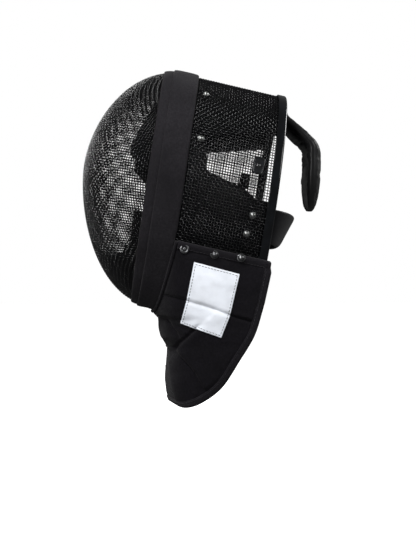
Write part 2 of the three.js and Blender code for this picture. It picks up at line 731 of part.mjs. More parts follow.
// Strap plates on the side mesh.
const PLATE_TURN = 75.7;
const plateDepth = SIDE_LENGTH - RIM_WIDTH - PLATE_RIM_GAP - PLATE_WIDTH / 2;
const PLATE_OUTLINE = [ // corners as shares of the half width and half height
  [-1, -0.8],
  [-0.8, -1],
  [0.8, -1],
  [1, -0.8],
  [1, 0.8],
  [0.8, 1],
  [-0.8, 1],
  [-1, 0.8],
];
for (const [side, sign] of SIDES) {
  const foot = meshFooting(PLATE_TURN, plateDepth);
  const corner = (a, b, h) =>
    fixed(foot, sign, (a * PLATE_WIDTH) / 2, (b * PLATE_HEIGHT) / 2, h * PLATE_WALL);
  const loops = PLATE_OUTLINE.map(([a, b]) => [
    corner(0, 0, 0),
    corner(a, b, 0),
    corner(a, b, 0.7),
    corner(a * 0.82, b * 0.88, 1),
    corner(0, 0, 1),
  ]);
  group.add(loft("strap_plate_" + side, ...GLOSS, loops, true));
}

export default group;
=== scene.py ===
# %% [markdown]
# # A fencing mask, dressed in Blender
#
# The mask is a shell of woven wire with a cloth band round its widest place, a glossy channel on
# its rear edge, padded linings, a spring tongue, a strap and a padded cloth bib. Its plain solids
# come from a modelling program and load first, as a frame. Each step below makes the real surface
# of one of them and hides the solid it stands for. Sizes are in millimetres until a mesh is made.

# %% Load the solids
import math

import bmesh
import bpy
import numpy as np
from mathutils import Matrix, Vector, noise
from mathutils.bvhtree import BVHTree


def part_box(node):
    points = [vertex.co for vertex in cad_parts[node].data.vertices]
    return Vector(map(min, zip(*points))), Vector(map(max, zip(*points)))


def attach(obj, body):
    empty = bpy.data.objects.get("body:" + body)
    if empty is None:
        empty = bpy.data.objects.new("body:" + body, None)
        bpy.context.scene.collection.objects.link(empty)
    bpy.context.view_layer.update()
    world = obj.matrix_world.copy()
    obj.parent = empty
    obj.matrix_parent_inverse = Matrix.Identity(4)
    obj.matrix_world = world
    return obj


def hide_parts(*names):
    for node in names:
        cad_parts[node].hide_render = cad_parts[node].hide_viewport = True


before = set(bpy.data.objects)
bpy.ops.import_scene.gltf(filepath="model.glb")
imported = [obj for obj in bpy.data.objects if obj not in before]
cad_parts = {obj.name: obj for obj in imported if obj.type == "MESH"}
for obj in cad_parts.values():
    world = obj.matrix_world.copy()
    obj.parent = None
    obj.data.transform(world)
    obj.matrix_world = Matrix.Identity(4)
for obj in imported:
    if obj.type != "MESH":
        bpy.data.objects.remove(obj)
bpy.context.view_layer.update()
MM = 0.001
print(len(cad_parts), "solids in the frame")

# %% [markdown]
# ## Camera
#
# The photograph looks straight at the wearer's left side, a little from the front, from more than
# a metre away. A perspective camera at that distance keeps the far side of the mask smaller, as a
# real lens does. The sensor is fitted to the picture's height, so the lens is worked out from it.

# %% Camera
VIEW_TURN = math.radians(2.8)  # from square on, towards the face
VIEW_DISTANCE = 1231
AIM = Vector((0, -20.06, -211.8))
FOCAL_PIXELS = 1043.2
PICTURE_HEIGHT = 555
SENSOR_HEIGHT = 24
back = Vector((math.cos(VIEW_TURN), -math.sin(VIEW_TURN), 0))
camera_data = bpy.data.cameras.new("camera")
camera_data.sensor_fit = "VERTICAL"
camera_data.sensor_height = SENSOR_HEIGHT
camera_data.lens = FOCAL_PIXELS * SENSOR_HEIGHT / PICTURE_HEIGHT
camera = bpy.data.objects.new("camera", camera_data)
camera.location = (AIM + back * VIEW_DISTANCE) * MM
camera.rotation_euler = (-back).to_track_quat("-Z", "Y").to_euler()
bpy.context.scene.collection.objects.link(camera)
bpy.context.scene.camera = camera
print("lens", round(camera_data.lens, 2), "mm")

# %% [markdown]
# ## The mask's skin
#
# Band, meshes, rim and linings all follow one curved surface, so one function gives its points. A
# turn runs from the crown (0) over the wearer's left (90) to the chin (180), a depth runs back from
# the plane of the band, and a lift goes outwards. The ring is a superellipse, squarer than an oval.
# The numbers are the driving sizes of the solids, so the new surfaces lie where the solids are.

# %% The skin
RING_HALF_WIDTH = 98
RING_UP = 124
RING_DOWN = 150
SIDE_POWER = 2.2
CROWN_POWER = 1.9
CHIN_POWER = 1.7
RING_TILT = math.radians(8.4)
RING_FORWARD = 69
FACE_DEPTH = 97.5
SIDE_LENGTH = 124.5
SIDE_SLOPE = math.radians(12.6)
REAR_HALF_WIDTH = 90
MESH_WALL = 2
CLEAR = 0.3
LAP = 0.7
CROWN_PAD = 12.1


def power(base, exponent):
    return np.sign(base) * np.abs(base) ** exponent


def points_of(x, y, z):
    return np.stack(np.broadcast_arrays(x, y, z), axis=-1).astype(float)


def skin_from_ring(turn, depth, lift):
    """Points of the skin, measured from the ring's centre height."""
    turn, depth, lift = np.broadcast_arrays(np.radians(turn), depth, lift)
    sine, cosine = np.sin(turn), np.cos(turn)
    front = np.minimum(depth, 0)
    rear = np.maximum(depth, 0)
    shrink = np.sqrt(np.maximum(0, 1 - (front / FACE_DEPTH) ** 2))
    reach = np.where(cosine > 0, RING_UP, RING_DOWN)
    roundness = np.where(cosine > 0, CROWN_POWER, CHIN_POWER)
    narrow = 1 - (1 - REAR_HALF_WIDTH / RING_HALF_WIDTH) * rear / SIDE_LENGTH
    x = (RING_HALF_WIDTH + lift) * power(shrink * sine, 2 / SIDE_POWER) * narrow
    up = (reach + lift) * power(shrink * cosine, 2 / roundness)
    forward = -front * (FACE_DEPTH + lift) / FACE_DEPTH
    y = up * math.sin(RING_TILT) - forward * math.cos(RING_TILT) + rear * math.cos(SIDE_SLOPE)
    z = up * math.cos(RING_TILT) + forward * math.sin(RING_TILT) - rear * math.sin(SIDE_SLOPE)
    return points_of(x, y - RING_FORWARD, z)


pad_underside = -(MESH_WALL + LAP + CROWN_PAD)
seat_depth = -skin_from_ring(0, 0, pad_underside)[1] / math.cos(SIDE_SLOPE)
ring_height = -skin_from_ring(0, seat_depth, pad_underside)[2]


def skin(turn, depth, lift):
    """The same with the crown lining's underside at the origin."""
    return skin_from_ring(turn, depth, lift) + np.array([0, 0, ring_height])


print("ring centre at height", round(float(ring_height), 1), "mm")

# %% [markdown]
# ## Helpers for meshes
#
# A sheet is made as by hand: a flat grid is added, and each of its corners is moved to its place.
# The grid's own texture map is then stretched to centimetres, so that a weave keeps one size on
# every piece. A closed pad is lofted through equal loops of points instead, because its two faces
# differ. Modifiers are applied at once, which leaves a plain mesh that sits at the origin.

# %% Helpers
UNITS_PER_MM = 0.1  # texture units, which are centimetres
SAME_PLACE = 0.00001  # corners nearer than this are one
TINY = 1e-9  # keeps a length that is divided by above 0


def deselect():
    bpy.ops.object.select_all(action="DESELECT")


def select_only(piece):
    deselect()
    piece.select_set(True)
    bpy.context.view_layer.objects.active = piece


def apply_all(piece):
    """Applies a piece's modifiers in order."""
    select_only(piece)
    for modifier in list(piece.modifiers):
        bpy.ops.object.modifier_apply(modifier=modifier.name)


def bevelled(piece, width, segments, angle):
    """Rounds the edges of a piece that turn by more than an angle in degrees."""
    edge = piece.modifiers.new("edge", "BEVEL")
    edge.width = width
    edge.segments = segments
    edge.angle_limit = math.radians(angle)
    apply_all(piece)


def tidy(piece):
    """Merges doubled corners and turns the faces outwards."""
    select_only(piece)
    bpy.ops.object.mode_set(mode="EDIT")
    bpy.ops.mesh.select_all(action="SELECT")
    bpy.ops.mesh.remove_doubles(threshold=SAME_PLACE)
    bpy.ops.mesh.normals_make_consistent(inside=False)
    bpy.ops.object.mode_set(mode="OBJECT")
    bpy.ops.object.shade_smooth()


def map_surface(piece, across, down):
    """Writes the piece's texture map: a pair of centimetre values for each corner."""
    layer = piece.data.uv_layers.active or piece.data.uv_layers.new(name="surface")
    corner = np.empty(len(piece.data.loops), int)
    piece.data.loops.foreach_get("vertex_index", corner)
    pairs = np.stack([across[corner], down[corner]], axis=-1)
    layer.data.foreach_set("uv", pairs.ravel())


def run_lengths(points, axis):
    """Length walked along one direction of a grid of points, in texture units."""
    steps = np.linalg.norm(np.diff(points, axis=axis), axis=-1)
    start = np.zeros_like(np.take(steps, [0], axis=axis))
    return np.concatenate([start, np.cumsum(steps, axis=axis)], axis=axis) * UNITS_PER_MM


def sheet_from(name, points):
    """A grid whose corners lie at points[column, row], in millimetres."""
    columns, rows = points.shape[0], points.shape[1]
    deselect()
    bpy.ops.mesh.primitive_grid_add(x_subdivisions=columns - 1, y_subdivisions=rows - 1)
    piece = bpy.context.object
    piece.name = piece.data.name = name
    by_corner = points.transpose(1, 0, 2).reshape(-1, 3)
    piece.data.vertices.foreach_set("co", (by_corner * MM).ravel())
    middle = columns // 2
    across = run_lengths(points, 0)
    across = across - across[middle : middle + 1]
    map_surface(piece, across.T.ravel(), run_lengths(points, 1).T.ravel())
    piece.data.update()
    return piece


def wall_of(piece, thickness):
    """Gives a sheet its thickness, inwards from the face that the grid is."""
    solid = piece.modifiers.new("wall", "SOLIDIFY")
    solid.thickness = thickness * MM
    solid.offset = -1
    apply_all(piece)
    select_only(piece)
    bpy.ops.object.shade_smooth()


def smooth_line(rows, count):
    """Even stations on a smooth curve through rows of values (Catmull-Rom)."""
    rows = np.concatenate([2 * rows[:1] - rows[1:2], rows, 2 * rows[-1:] - rows[-2:-1]])
    at = np.linspace(0, len(rows) - 3 - TINY, count)
    i = at.astype(int)
    t = (at - i)[:, None]
    a, b, c, d = (rows[i + k] for k in range(4))
    square, cube = 2 * a - 5 * b + 4 * c - d, 3 * b - a - 3 * c + d
    return 0.5 * (2 * b + (c - a) * t + square * t**2 + cube * t**3)


def outwards(piece, centre):
    """Turns an open sheet so that its faces look away from a point."""
    mesh = piece.data
    mesh.update()
    away = sum((f.center - Vector(centre) * MM).dot(f.normal) * f.area for f in mesh.polygons)
    if away < 0:
        mesh.flip_normals()


def loft_from(name, loops):
    """A closed body through equal loops[place, corner] of points, in millimetres."""
    corners = loops.shape[1]
    mesh = bpy.data.meshes.new(name)
    made = bmesh.new()
    rows = [[made.verts.new(Vector(p) * MM) for p in loop] for loop in loops]
    for here, there in zip(rows, rows[1:]):
        for k in range(corners):
            m = (k + 1) % corners
            made.faces.new((here[k], here[m], there[m], there[k]))
    for end in (rows[0], rows[-1]):
        for k in range(corners // 2 - 1):
            m = corners - 1 - k
            made.faces.new((end[k], end[k + 1], end[m - 1], end[m]))
    made.to_mesh(mesh)
    made.free()
    piece = bpy.data.objects.new(name, mesh)
    bpy.context.scene.collection.objects.link(piece)
    across, down = run_lengths(loops, 0), run_lengths(loops, 1)
    map_surface(piece, across.ravel(), down.ravel())
    tidy(piece)
    return piece


def tubes(name, routes, radius, sides=4):
    """Round wires along lists of points, as one curve object that is turned into a mesh."""
    curve = bpy.data.curves.new(name, "CURVE")
    curve.dimensions = "3D"
    curve.bevel_depth = radius * MM
    curve.bevel_resolution = sides // 2 - 2
    curve.use_fill_caps = True
    for route in routes:
        spline = curve.splines.new("POLY")
        spline.points.add(len(route) - 1)
        places = np.concatenate([np.asarray(route) * MM, np.ones((len(route), 1))], axis=1)
        spline.points.foreach_set("co", places.ravel())
    piece = bpy.data.objects.new(name, curve)
    bpy.context.scene.collection.objects.link(piece)
    select_only(piece)
    bpy.ops.object.convert(target="MESH")
    piece = bpy.context.object
    bpy.ops.object.shade_smooth()
    return piece


def placed(piece, slot, finish, *nodes):
    """Puts a piece on the mask's one body, with its finish, in place of some solids."""
    piece.data.materials.clear()
    piece.data.materials.append(finish)
    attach(piece, "root")
    if nodes:
        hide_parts(*nodes)
    triangles = sum(len(face.vertices) - 2 for face in piece.data.polygons)
    print(piece.name, triangles, "triangles")
    return piece


def mirrored(points):
    return points * np.array([-1, 1, 1])


# %% [markdown]
# ## Finishes
#
# Nearly everything here is black, so the finishes differ in how they catch light. Cloth scatters
# it: a fine weave of crossed bands gives it bumps, noise gives it lint, and sheen lightens it at
# its edges. Enamelled wire, the moulded rim and steel heads mirror the lamps instead, and noise in
# their roughness stands for handling and wear. Patterns follow each piece's own texture map.

# %% Helpers for finishes
def set_even(finish, sockets):
    """Sets values that are the same all over the surface, on the shader's own sockets."""
    for socket, value in sockets.items():
        finish.node_tree.nodes["Principled BSDF"].inputs[socket].default_value = value


def new_finish(name, colour, roughness, sockets):
    """A material whose shader has one colour and roughness, and other even values by socket."""
    finish = bpy.data.materials.new(name)
    finish.use_nodes = True
    set_even(finish, {"Base Color": (*colour, 1), "Roughness": roughness, **sockets})
    return finish


def add_node(finish, kind, sources=(), values=(), **settings):
    """A node with its settings, the links into it by socket, and its own values by socket."""
    node = finish.node_tree.nodes.new(kind)
    for setting, value in settings.items():
        setattr(node, setting, value)
    for socket, value in dict(values).items():
        node.inputs[socket].default_value = value
    for socket, source in dict(sources).items():
        finish.node_tree.links.new(source, node.inputs[socket])
    return node


def into_shader(finish, socket, source):
    finish.node_tree.links.new(source, finish.node_tree.nodes["Principled BSDF"].inputs[socket])


def cloudy(finish, where, size_mm, detail=4):
    """Soft noise with patches of about one size."""
    values = {"Scale": 1 / (size_mm * MM), "Detail": detail}
    return add_node(finish, "ShaderNodeTexNoise", {"Vector": where}, values).outputs["Fac"]


def between(finish, amount, low, high, start, end):
    """Turns a noise value that runs from start to end into one from low to high."""
    values = {"From Min": start, "From Max": end, "To Min": low, "To Max": high}
    return add_node(finish, "ShaderNodeMapRange", {"Value": amount}, values).outputs["Result"]


def two_colours(finish, amount, dark, light, start, end):
    """Turns a noise value into a colour: dark up to start, light from end on."""
    ramp = add_node(finish, "ShaderNodeValToRGB", {"Fac": amount})
    ramp.color_ramp.elements[0].position = start
    ramp.color_ramp.elements[0].color = (*dark, 1)
    ramp.color_ramp.elements[1].position = end
    ramp.color_ramp.elements[1].color = (*light, 1)
    return ramp.outputs["Color"]


WAVE_PERIOD = 0.314  # length of one band of a wave texture at scale 1


def bands(finish, where, pitch_mm, direction):
    """Even bands across the texture map, with one pitch."""
    scale = WAVE_PERIOD / (pitch_mm * UNITS_PER_MM)
    return add_node(
        finish,
        "ShaderNodeTexWave",
        {"Vector": where},
        {"Scale": scale},
        wave_type="BANDS",
        bands_direction=direction,
    ).outputs["Fac"]


def combined(finish, operation, first, second):
    return add_node(finish, "ShaderNodeMath", {0: first, 1: second}, operation=operation).outputs[0]


def bumped(finish, heights):
    """Bumps on the shader, from a list of (height, depth in millimetres)."""
    normal = None
    for height, depth_mm in heights:
        links = {"Height": height}
        if normal is not None:
            links["Normal"] = normal
        bump = add_node(finish, "ShaderNodeBump", links, {"Strength": 1, "Distance": depth_mm * MM})
        normal = bump.outputs["Normal"]
    into_shader(finish, "Normal", normal)


LINT_MM = 2.2
LINT_DEPTH_MM = 0.25
WORN_PATCH_MM = 38
GRAIN_DEPTH_MM = 0.03


def cloth_finish(name, dark, light, pitch_mm, depth_mm, sheen, ribs_mm=0):
    """Woven cloth: crossed bands, or ribs across the piece, with lint and a soft sheen."""
    even = {"Specular IOR Level": 0.1, "Sheen Weight": sheen, "Sheen Roughness": 0.5}
    finish = new_finish(name, dark, 0.92, even)
    places = add_node(finish, "ShaderNodeTexCoord")
    along = bands(finish, places.outputs["UV"], pitch_mm, "X")
    over = bands(finish, places.outputs["UV"], ribs_mm or pitch_mm, "Y")
    weave = combined(finish, "MULTIPLY", along, over)
    lint = cloudy(finish, places.outputs["Object"], LINT_MM)
    worn = cloudy(finish, places.outputs["Object"], WORN_PATCH_MM, 3)
    patchy = combined(finish, "MULTIPLY", lint, worn)
    into_shader(finish, "Base Color", two_colours(finish, patchy, dark, light, 0.12, 0.42))
    into_shader(finish, "Roughness", between(finish, worn, 0.8, 0.98, 0.3, 0.7))
    bumped(finish, [(weave, depth_mm), (lint, LINT_DEPTH_MM)])
    return finish


def metal_finish(name, dark, light, rough, metallic, grain_mm):
    """Painted or moulded gloss: patches of colour, and roughness that handling has changed."""
    finish = new_finish(name, dark, rough[0], {"Metallic": metallic})
    places = add_node(finish, "ShaderNodeTexCoord")
    worn = cloudy(finish, places.outputs["Object"], grain_mm)
    fine = cloudy(finish, places.outputs["Object"], grain_mm / 8)
    into_shader(finish, "Base Color", two_colours(finish, worn, dark, light, 0.45, 0.8))
    handled = combined(finish, "MULTIPLY", worn, fine)
    into_shader(finish, "Roughness", between(finish, handled, *rough, 0.1, 0.4))
    bumped(finish, [(fine, GRAIN_DEPTH_MM)])
    return finish


# %% The finishes
# Cloth: dark and light colour, pitch and depth of the weave, sheen, pitch of ribs if it has them.
band_cloth = cloth_finish("band_cloth", (0.0062, 0.0056, 0.007), (0.016, 0.0148, 0.0172), 0.7, 0.12, 0.03)
bib_cloth = cloth_finish("bib_cloth", (0.0016, 0.0013, 0.0022), (0.0055, 0.0048, 0.0066), 0.8, 0.14, 0.02)
tape_cloth = cloth_finish(
    "tape_cloth", (0.0035, 0.003, 0.0042), (0.0095, 0.0085, 0.0108), 0.5, 0.12, 0.04, 1.1
)
lining_cloth = cloth_finish("lining_cloth", (0.001, 0.001, 0.0014), (0.003, 0.003, 0.0036), 0.9, 0.2, 0.02)
tongue_cloth = cloth_finish(
    "tongue_cloth", (0.0015, 0.0015, 0.0018), (0.004, 0.004, 0.0045), 0.5, 0.05, 0.02
)
strap_cloth = cloth_finish(
    "strap_cloth", (0.003, 0.003, 0.0035), (0.006, 0.006, 0.007), 0.6, 0.04, 0.02, 1.4
)
thread = cloth_finish("thread", (0.012, 0.011, 0.014), (0.03, 0.028, 0.032), 0.4, 0.05, 0.1)
set_even(tongue_cloth, {"Coat Weight": 0.25, "Coat Roughness": 0.35})
set_even(strap_cloth, {"Coat Weight": 0.15, "Coat Roughness": 0.3})

# Gloss: dark and light colour, range of the roughness, metallic, size of the worn patches.
wire_black = metal_finish("wire_black", (0.001, 0.001, 0.0014), (0.004, 0.004, 0.0044), (0.14, 0.28), 0, 9)
rim_gloss = metal_finish("rim_gloss", (0.002, 0.0024, 0.003), (0.005, 0.006, 0.008), (0.08, 0.24), 0, 16)
plate_gloss = metal_finish("plate_gloss", (0.002, 0.0025, 0.003), (0.006, 0.007, 0.01), (0.1, 0.2), 0, 6)
stud_steel = metal_finish("stud_steel", (0.2, 0.205, 0.2), (0.42, 0.43, 0.41), (0.22, 0.36), 1, 3)
dark_steel = metal_finish("dark_steel", (0.08, 0.081, 0.084), (0.2, 0.202, 0.206), (0.28, 0.42), 1, 3)
set_even(wire_black, {"Specular IOR Level": 0.4})
set_even(rim_gloss, {"Specular IOR Level": 0.3})
set_even(plate_gloss, {"Coat Weight": 0.6, "Coat Roughness": 0.08})
print(len(bpy.data.materials), "materials")

# %% [markdown]
# ## Woven wire of the face
#
# The front of the mask is one piece of plain-woven steel net, pressed into a deep dome: its cells
# stay 3.1 mm on each side and lean into diamonds where the net has to turn two ways. A projected
# grid would stretch its cells instead. So two main wires are walked down the middle of the dome,
# and every other crossing is found from three that are known: it is one cell from each of its two
# neighbours and lies on the dome. The dome's form is written as a sum that is 1 on the surface.

# %% Crossings of the front net
PITCH = 3.1
WIRE_RADIUS = 0.5  # of the side net
FACE_WIRE_RADIUS = 0.58
NET_HALF_WIDTH = RING_HALF_WIDTH - MESH_WALL / 2
NET_UP = RING_UP - MESH_WALL / 2
NET_DOWN = RING_DOWN - MESH_WALL / 2
NET_DEPTH = FACE_DEPTH - MESH_WALL / 2
NET_EDGE = -6  # the net ends behind the ring's plane, under the band
WALK_ROUNDS = 20  # of Newton's method, for each crossing of a main wire
FILL_ROUNDS = 25
FILL_MARGIN = 60  # diagonals past the main wires' lengths
ON_DOME = 1e-3  # how near to the dome a crossing has to come


def dome(points):
    """How far points (side, up, forward) are from the dome, as a share, and its slope there."""
    side, up, forward = points.T
    reach = np.where(up > 0, NET_UP, NET_DOWN)
    roundness = np.where(up > 0, CROWN_POWER, CHIN_POWER)
    across, along = np.abs(side) / NET_HALF_WIDTH, np.abs(up) / reach
    value = across**SIDE_POWER + along**roundness + (forward / NET_DEPTH) ** 2 - 1
    slope = [
        SIDE_POWER * across ** (SIDE_POWER - 1) / NET_HALF_WIDTH * np.sign(side),
        roundness * along ** (roundness - 1) / reach * np.sign(up),
        2 * forward / NET_DEPTH**2,
    ]
    return value, np.stack(slope, axis=1)


def main_wire(direction, flat):
    """Crossings one cell apart from the dome's pole, in the plane where coordinate flat is 0."""
    here, way = np.array([0.0, 0.0, NET_DEPTH]), np.array(direction, float)
    found = [here]
    while here[2] > NET_EDGE:
        guess = here + way * PITCH
        for _ in range(WALK_ROUNDS):
            value, slope = dome(guess[None])
            slope = slope[0] * (np.arange(3) != flat)
            step = guess - here
            length = np.linalg.norm(step)
            lean = np.array([slope * NET_DEPTH, step / length, np.eye(3)[flat]])
            miss = np.array([value[0] * NET_DEPTH, length - PITCH, guess[flat]])
            guess = guess - np.linalg.solve(lean, miss)
        way, here = (guess - here) / PITCH, guess
        found.append(here)
    return found


def fill_quarter(side_wire, up_wire):
    """All crossings between two main wires, by number, diagonal after diagonal."""
    net = {(i, 0): place for i, place in enumerate(side_wire)}
    net.update({(0, j): place for j, place in enumerate(up_wire)})
    for total in range(2, len(side_wire) + len(up_wire) + FILL_MARGIN):
        new = [(i, total - i) for i in range(1, total)]
        new = [(i, j) for i, j in new if {(i - 1, j), (i, j - 1), (i - 1, j - 1)} <= net.keys()]
        if not new:
            continue
        first, second, corner = (
            np.array([net[(i - a, j - b)] for i, j in new]) for a, b in ((1, 0), (0, 1), (1, 1))
        )
        guess = first + second - corner
        for _ in range(FILL_ROUNDS):
            value, slope = dome(guess)
            ways = guess - first, guess - second
            lengths = [np.linalg.norm(way, axis=1) for way in ways]
            lean = np.stack([slope * NET_DEPTH] + [w / n[:, None] for w, n in zip(ways, lengths)], 1)
            miss = np.stack([value * NET_DEPTH] + [n - PITCH for n in lengths], 1)
            step = np.linalg.solve(lean, -miss[..., None])[..., 0]
            size = np.linalg.norm(step, axis=1)[:, None]
            guess = guess + step * np.minimum(1, PITCH / 2 / np.maximum(size, TINY))
        value = np.abs(dome(guess)[0])
        apart = np.linalg.norm(guess - corner, axis=1)
        for place, number, miss, gap in zip(guess, new, value, apart):
            if miss < ON_DOME and place[2] > NET_EDGE and gap > PITCH / 3:
                net[number] = place
    return net


side_wire = main_wire((1, 0, 0), 1)
net = {}
for sign in (1, -1):
    quarter = fill_quarter(side_wire, main_wire((0, sign, 0), 0))
    for (i, j), place in quarter.items():
        net[(i, sign * j)] = place
        net[(-i, sign * j)] = mirrored(place)
print(len(net), "crossings in the front net")

# %% [markdown]
# ## Wires from crossings
#
# In a plain weave each wire goes over one and under the next. A wire is crimped, not wavy: it lies
# flat where it crosses another and slants between. Two points at each crossing give that form with
# little geometry, and neighbouring wires start on opposite sides. Each direction is one object.

# %% Wires of the face
FLAT_SHARE = 0.21  # of a cell, either side of a crossing
SHORTEST_WIRE = 4  # crossings
RING_CENTRE = np.array([0, -RING_FORWARD, ring_height])
RING_AXES = np.array(
    [
        [1, 0, 0],
        [0, math.sin(RING_TILT), math.cos(RING_TILT)],
        [0, -math.cos(RING_TILT), math.sin(RING_TILT)],
    ]
)


def crimped(crossings, normals, over):
    """A wire's points through its crossings, over the first if over is 1 and under it if -1."""
    steps = np.diff(crossings, axis=0, prepend=2 * crossings[:1] - crossings[1:2])
    after = np.diff(crossings, axis=0, append=2 * crossings[-1:] - crossings[-2:-1])
    signs = over * (-1) ** np.arange(len(crossings))
    lifted = crossings + normals * (signs * FACE_WIRE_RADIUS)[:, None]
    pairs = np.stack([lifted - FLAT_SHARE * steps, lifted + FLAT_SHARE * after], axis=1)
    return pairs.reshape(-1, 3)


def net_wires(direction):
    """Routes of the wires that run in one of the net's two directions."""
    other = 1 - direction
    wires = {}
    for number in sorted(net, key=lambda ij: (ij[other], ij[direction])):
        wires.setdefault(number[other], []).append(number)
    routes = []
    for line, numbers in wires.items():
        if len(numbers) < SHORTEST_WIRE:
            continue
        places = np.array([net[number] for number in numbers])
        slope = dome(places)[1]
        normals = slope / np.linalg.norm(slope, axis=1)[:, None]
        over = (-1) ** (line + numbers[0][direction] + direction)
        routes.append(crimped(places, normals, over) @ RING_AXES + RING_CENTRE)
    return routes


upright = tubes("face_wires_upright", net_wires(1), FACE_WIRE_RADIUS)
placed(upright, "front_wire", wire_black, "front_mesh")
placed(tubes("face_wires_level", net_wires(0), FACE_WIRE_RADIUS), "front_wire", wire_black)

# %% [markdown]
# ## Woven wire of the sides
#
# The sides are a second net, rolled like a sheet of paper, so its cells stay square: rings run
# beside the band and straight wires run back to the rim. The straight wires are spaced by length
# round the ring, since equal turns would crowd them at the crown. Both are six-sided, because
# this is the net that is seen closest.

# %% Wires of the sides
SIDE_END_TURN = 124.6
SIDE_FIRST_RING = 10
SIDE_LAST_RING = 120
ring_depths = np.arange(SIDE_FIRST_RING, SIDE_LAST_RING, PITCH)
fine_turns = np.linspace(-SIDE_END_TURN, SIDE_END_TURN, 2001)
ring_run = run_lengths(skin(fine_turns, SIDE_LENGTH / 2, -MESH_WALL / 2), 0) / UNITS_PER_MM
wire_turns = np.interp(np.arange(PITCH / 2, ring_run[-1], PITCH), ring_run, fine_turns)
side_net = skin(wire_turns[:, None], ring_depths[None, :], -MESH_WALL / 2)
side_out = skin(wire_turns[:, None], ring_depths[None, :], 0) - side_net
side_out = side_out / np.linalg.norm(side_out, axis=-1, keepdims=True)
straight = [crimped(side_net[i], side_out[i], (-1) ** i) for i in range(len(wire_turns))]
rings = [crimped(side_net[:, j], side_out[:, j], -((-1) ** j)) for j in range(len(ring_depths))]
placed(tubes("side_wires_straight", straight, WIRE_RADIUS, 6), "side_wire", wire_black, "side_mesh")
placed(tubes("side_wires_rings", rings, WIRE_RADIUS, 6), "side_wire", wire_black)

# %% [markdown]
# ## Trim band
#
# The band is a doubled strip of cloth that covers the joint of the two nets. It is folded over
# itself: a narrow strip lies lower in front of the fold, and the wide part has a soft edge. The
# grid takes that profile across its width, and slow noise along it keeps it from looking moulded.
# Past the bib's side edge its rear edge comes forward, because the bib's piping takes its place.

# %% Band
BAND_HALF_WIDTH = 20.2
BAND_WALL = 2.6
BAND_CHIN_REAR = 4
UNDER_PIPING = 2.6  # how far the cloth goes on below the piping
PIPED_HEIGHT = 1.1  # its height there, as a share of the wall
UNDER_FROM = 0.8  # share of the width from which it applies
BIB_TURN = 121
BAND_CLOTH = 1.2
BAND_WAVES = ((0.35, 26, 0), (0.15, 9, 1))  # (height, patch size, seed)
SEED_STEP = 17.3  # moves each seed's patches elsewhere
BAND_PROFILE = np.array(  # [share of the width, share of the wall], front edge first
    [
        [0, 0.1],
        [0.012, 0.42],
        [0.05, 0.56],
        [0.14, 0.58],
        [0.25, 0.5],
        [0.272, 0.4],
        [0.285, 0.84],
        [0.31, 1.04],
        [0.4, 1.0],
        [0.6, 0.92],
        [0.8, 0.95],
        [0.94, 0.86],
        [0.985, 0.6],
        [1, 0.1],
    ]
)


def band_rear(turn):
    """The band's rear edge behind the ring's plane."""
    from_crown = 180 - np.abs(180 - np.mod(turn, 360))
    share = np.clip((from_crown - BIB_TURN + 4) / (180 + 4 - BIB_TURN), 0, 1)
    return BAND_HALF_WIDTH + (BAND_CHIN_REAR - BAND_HALF_WIDTH) * share


def soft_noise(points, *layers):
    """Smooth noise at each point of an array: a sum of layers of (height, patch size, seed)."""
    total = 0
    for height, size, seed in layers:
        flat = points.reshape(-1, 3) / np.broadcast_to(size, (3,)) + seed * SEED_STEP
        values = np.array([noise.noise(Vector(p)) for p in flat])
        total = total + height * values.reshape(points.shape[:-1])
    return total


turns = np.linspace(0, 360, 241)[:, None]
shares = np.interp(np.linspace(0, 1, 29), np.linspace(0, 1, len(BAND_PROFILE)), BAND_PROFILE[:, 0])
heights = np.interp(shares, BAND_PROFILE[:, 0], BAND_PROFILE[:, 1])
under = np.clip((band_rear(BIB_TURN) - band_rear(turns)) / 2, 0, 1)  # 1 where piping covers its edge
depths = -BAND_HALF_WIDTH + (band_rear(turns) + UNDER_PIPING * under + BAND_HALF_WIDTH) * shares
heights = heights + under * np.where(shares > UNDER_FROM, PIPED_HEIGHT - heights, 0)
waves = soft_noise(skin(turns, depths, LAP), *BAND_WAVES) * np.sin(np.pi * shares) ** 0.5
waves[-1] = waves[0]
band = sheet_from("trim_band_cloth", skin(turns, depths, LAP + BAND_WALL * heights + waves))
tidy(band)
outwards(band, (0, -RING_FORWARD, float(ring_height)))
wall_of(band, BAND_CLOTH)
placed(band, "band_cloth", band_cloth, "trim_band")

# %% [markdown]
# ## Rear rim
#
# A moulded channel grips the cut ends of the side net. Its section is a U: an outer leg, a round
# end and an inner leg. The grid's rows run round the U and its columns run round the mask, and
# Solidify then gives the wall. The glossy finish shows the round end as one long highlight.

# %% Rim
RIM_WIDTH = 10
RIM_WALL = 1.6
RIM_SKIN = RIM_WALL * 0.6  # wall of the dressed channel, which the bowed section needs thinner
RIM_FLAT = 0.35  # share of its width that is flat outside
RIM_NOSE = 0.7  # depth of the round end, as a share of its radius
RIM_EDGE = 0.3
RIM_INSIDE = (0, 0, -95)
rim_out = CLEAR + RIM_WALL
rim_in = -(MESH_WALL + CLEAR + RIM_WALL)
rim_round = (rim_out - rim_in) / 2
leg = SIDE_LENGTH - RIM_WIDTH
bow = np.radians(np.linspace(0, 180, 13))
rim_depths = np.concatenate(
    [[leg, leg + RIM_FLAT * RIM_WIDTH], SIDE_LENGTH + rim_round * RIM_NOSE * (np.sin(bow) - 1), [leg]]
)
rim_lifts = np.concatenate([[rim_out] * 2, (rim_out + rim_in) / 2 + rim_round * np.cos(bow), [rim_in]])
turns = np.linspace(-SIDE_END_TURN, SIDE_END_TURN, 201)[:, None]
rim = sheet_from("rim_channel", skin(turns, rim_depths[None, :], rim_lifts[None, :]))
outwards(rim, RIM_INSIDE)
wall_of(rim, RIM_SKIN)
bevelled(rim, RIM_EDGE * MM, 2, 50)
placed(rim, "rim", rim_gloss, "rear_rim")

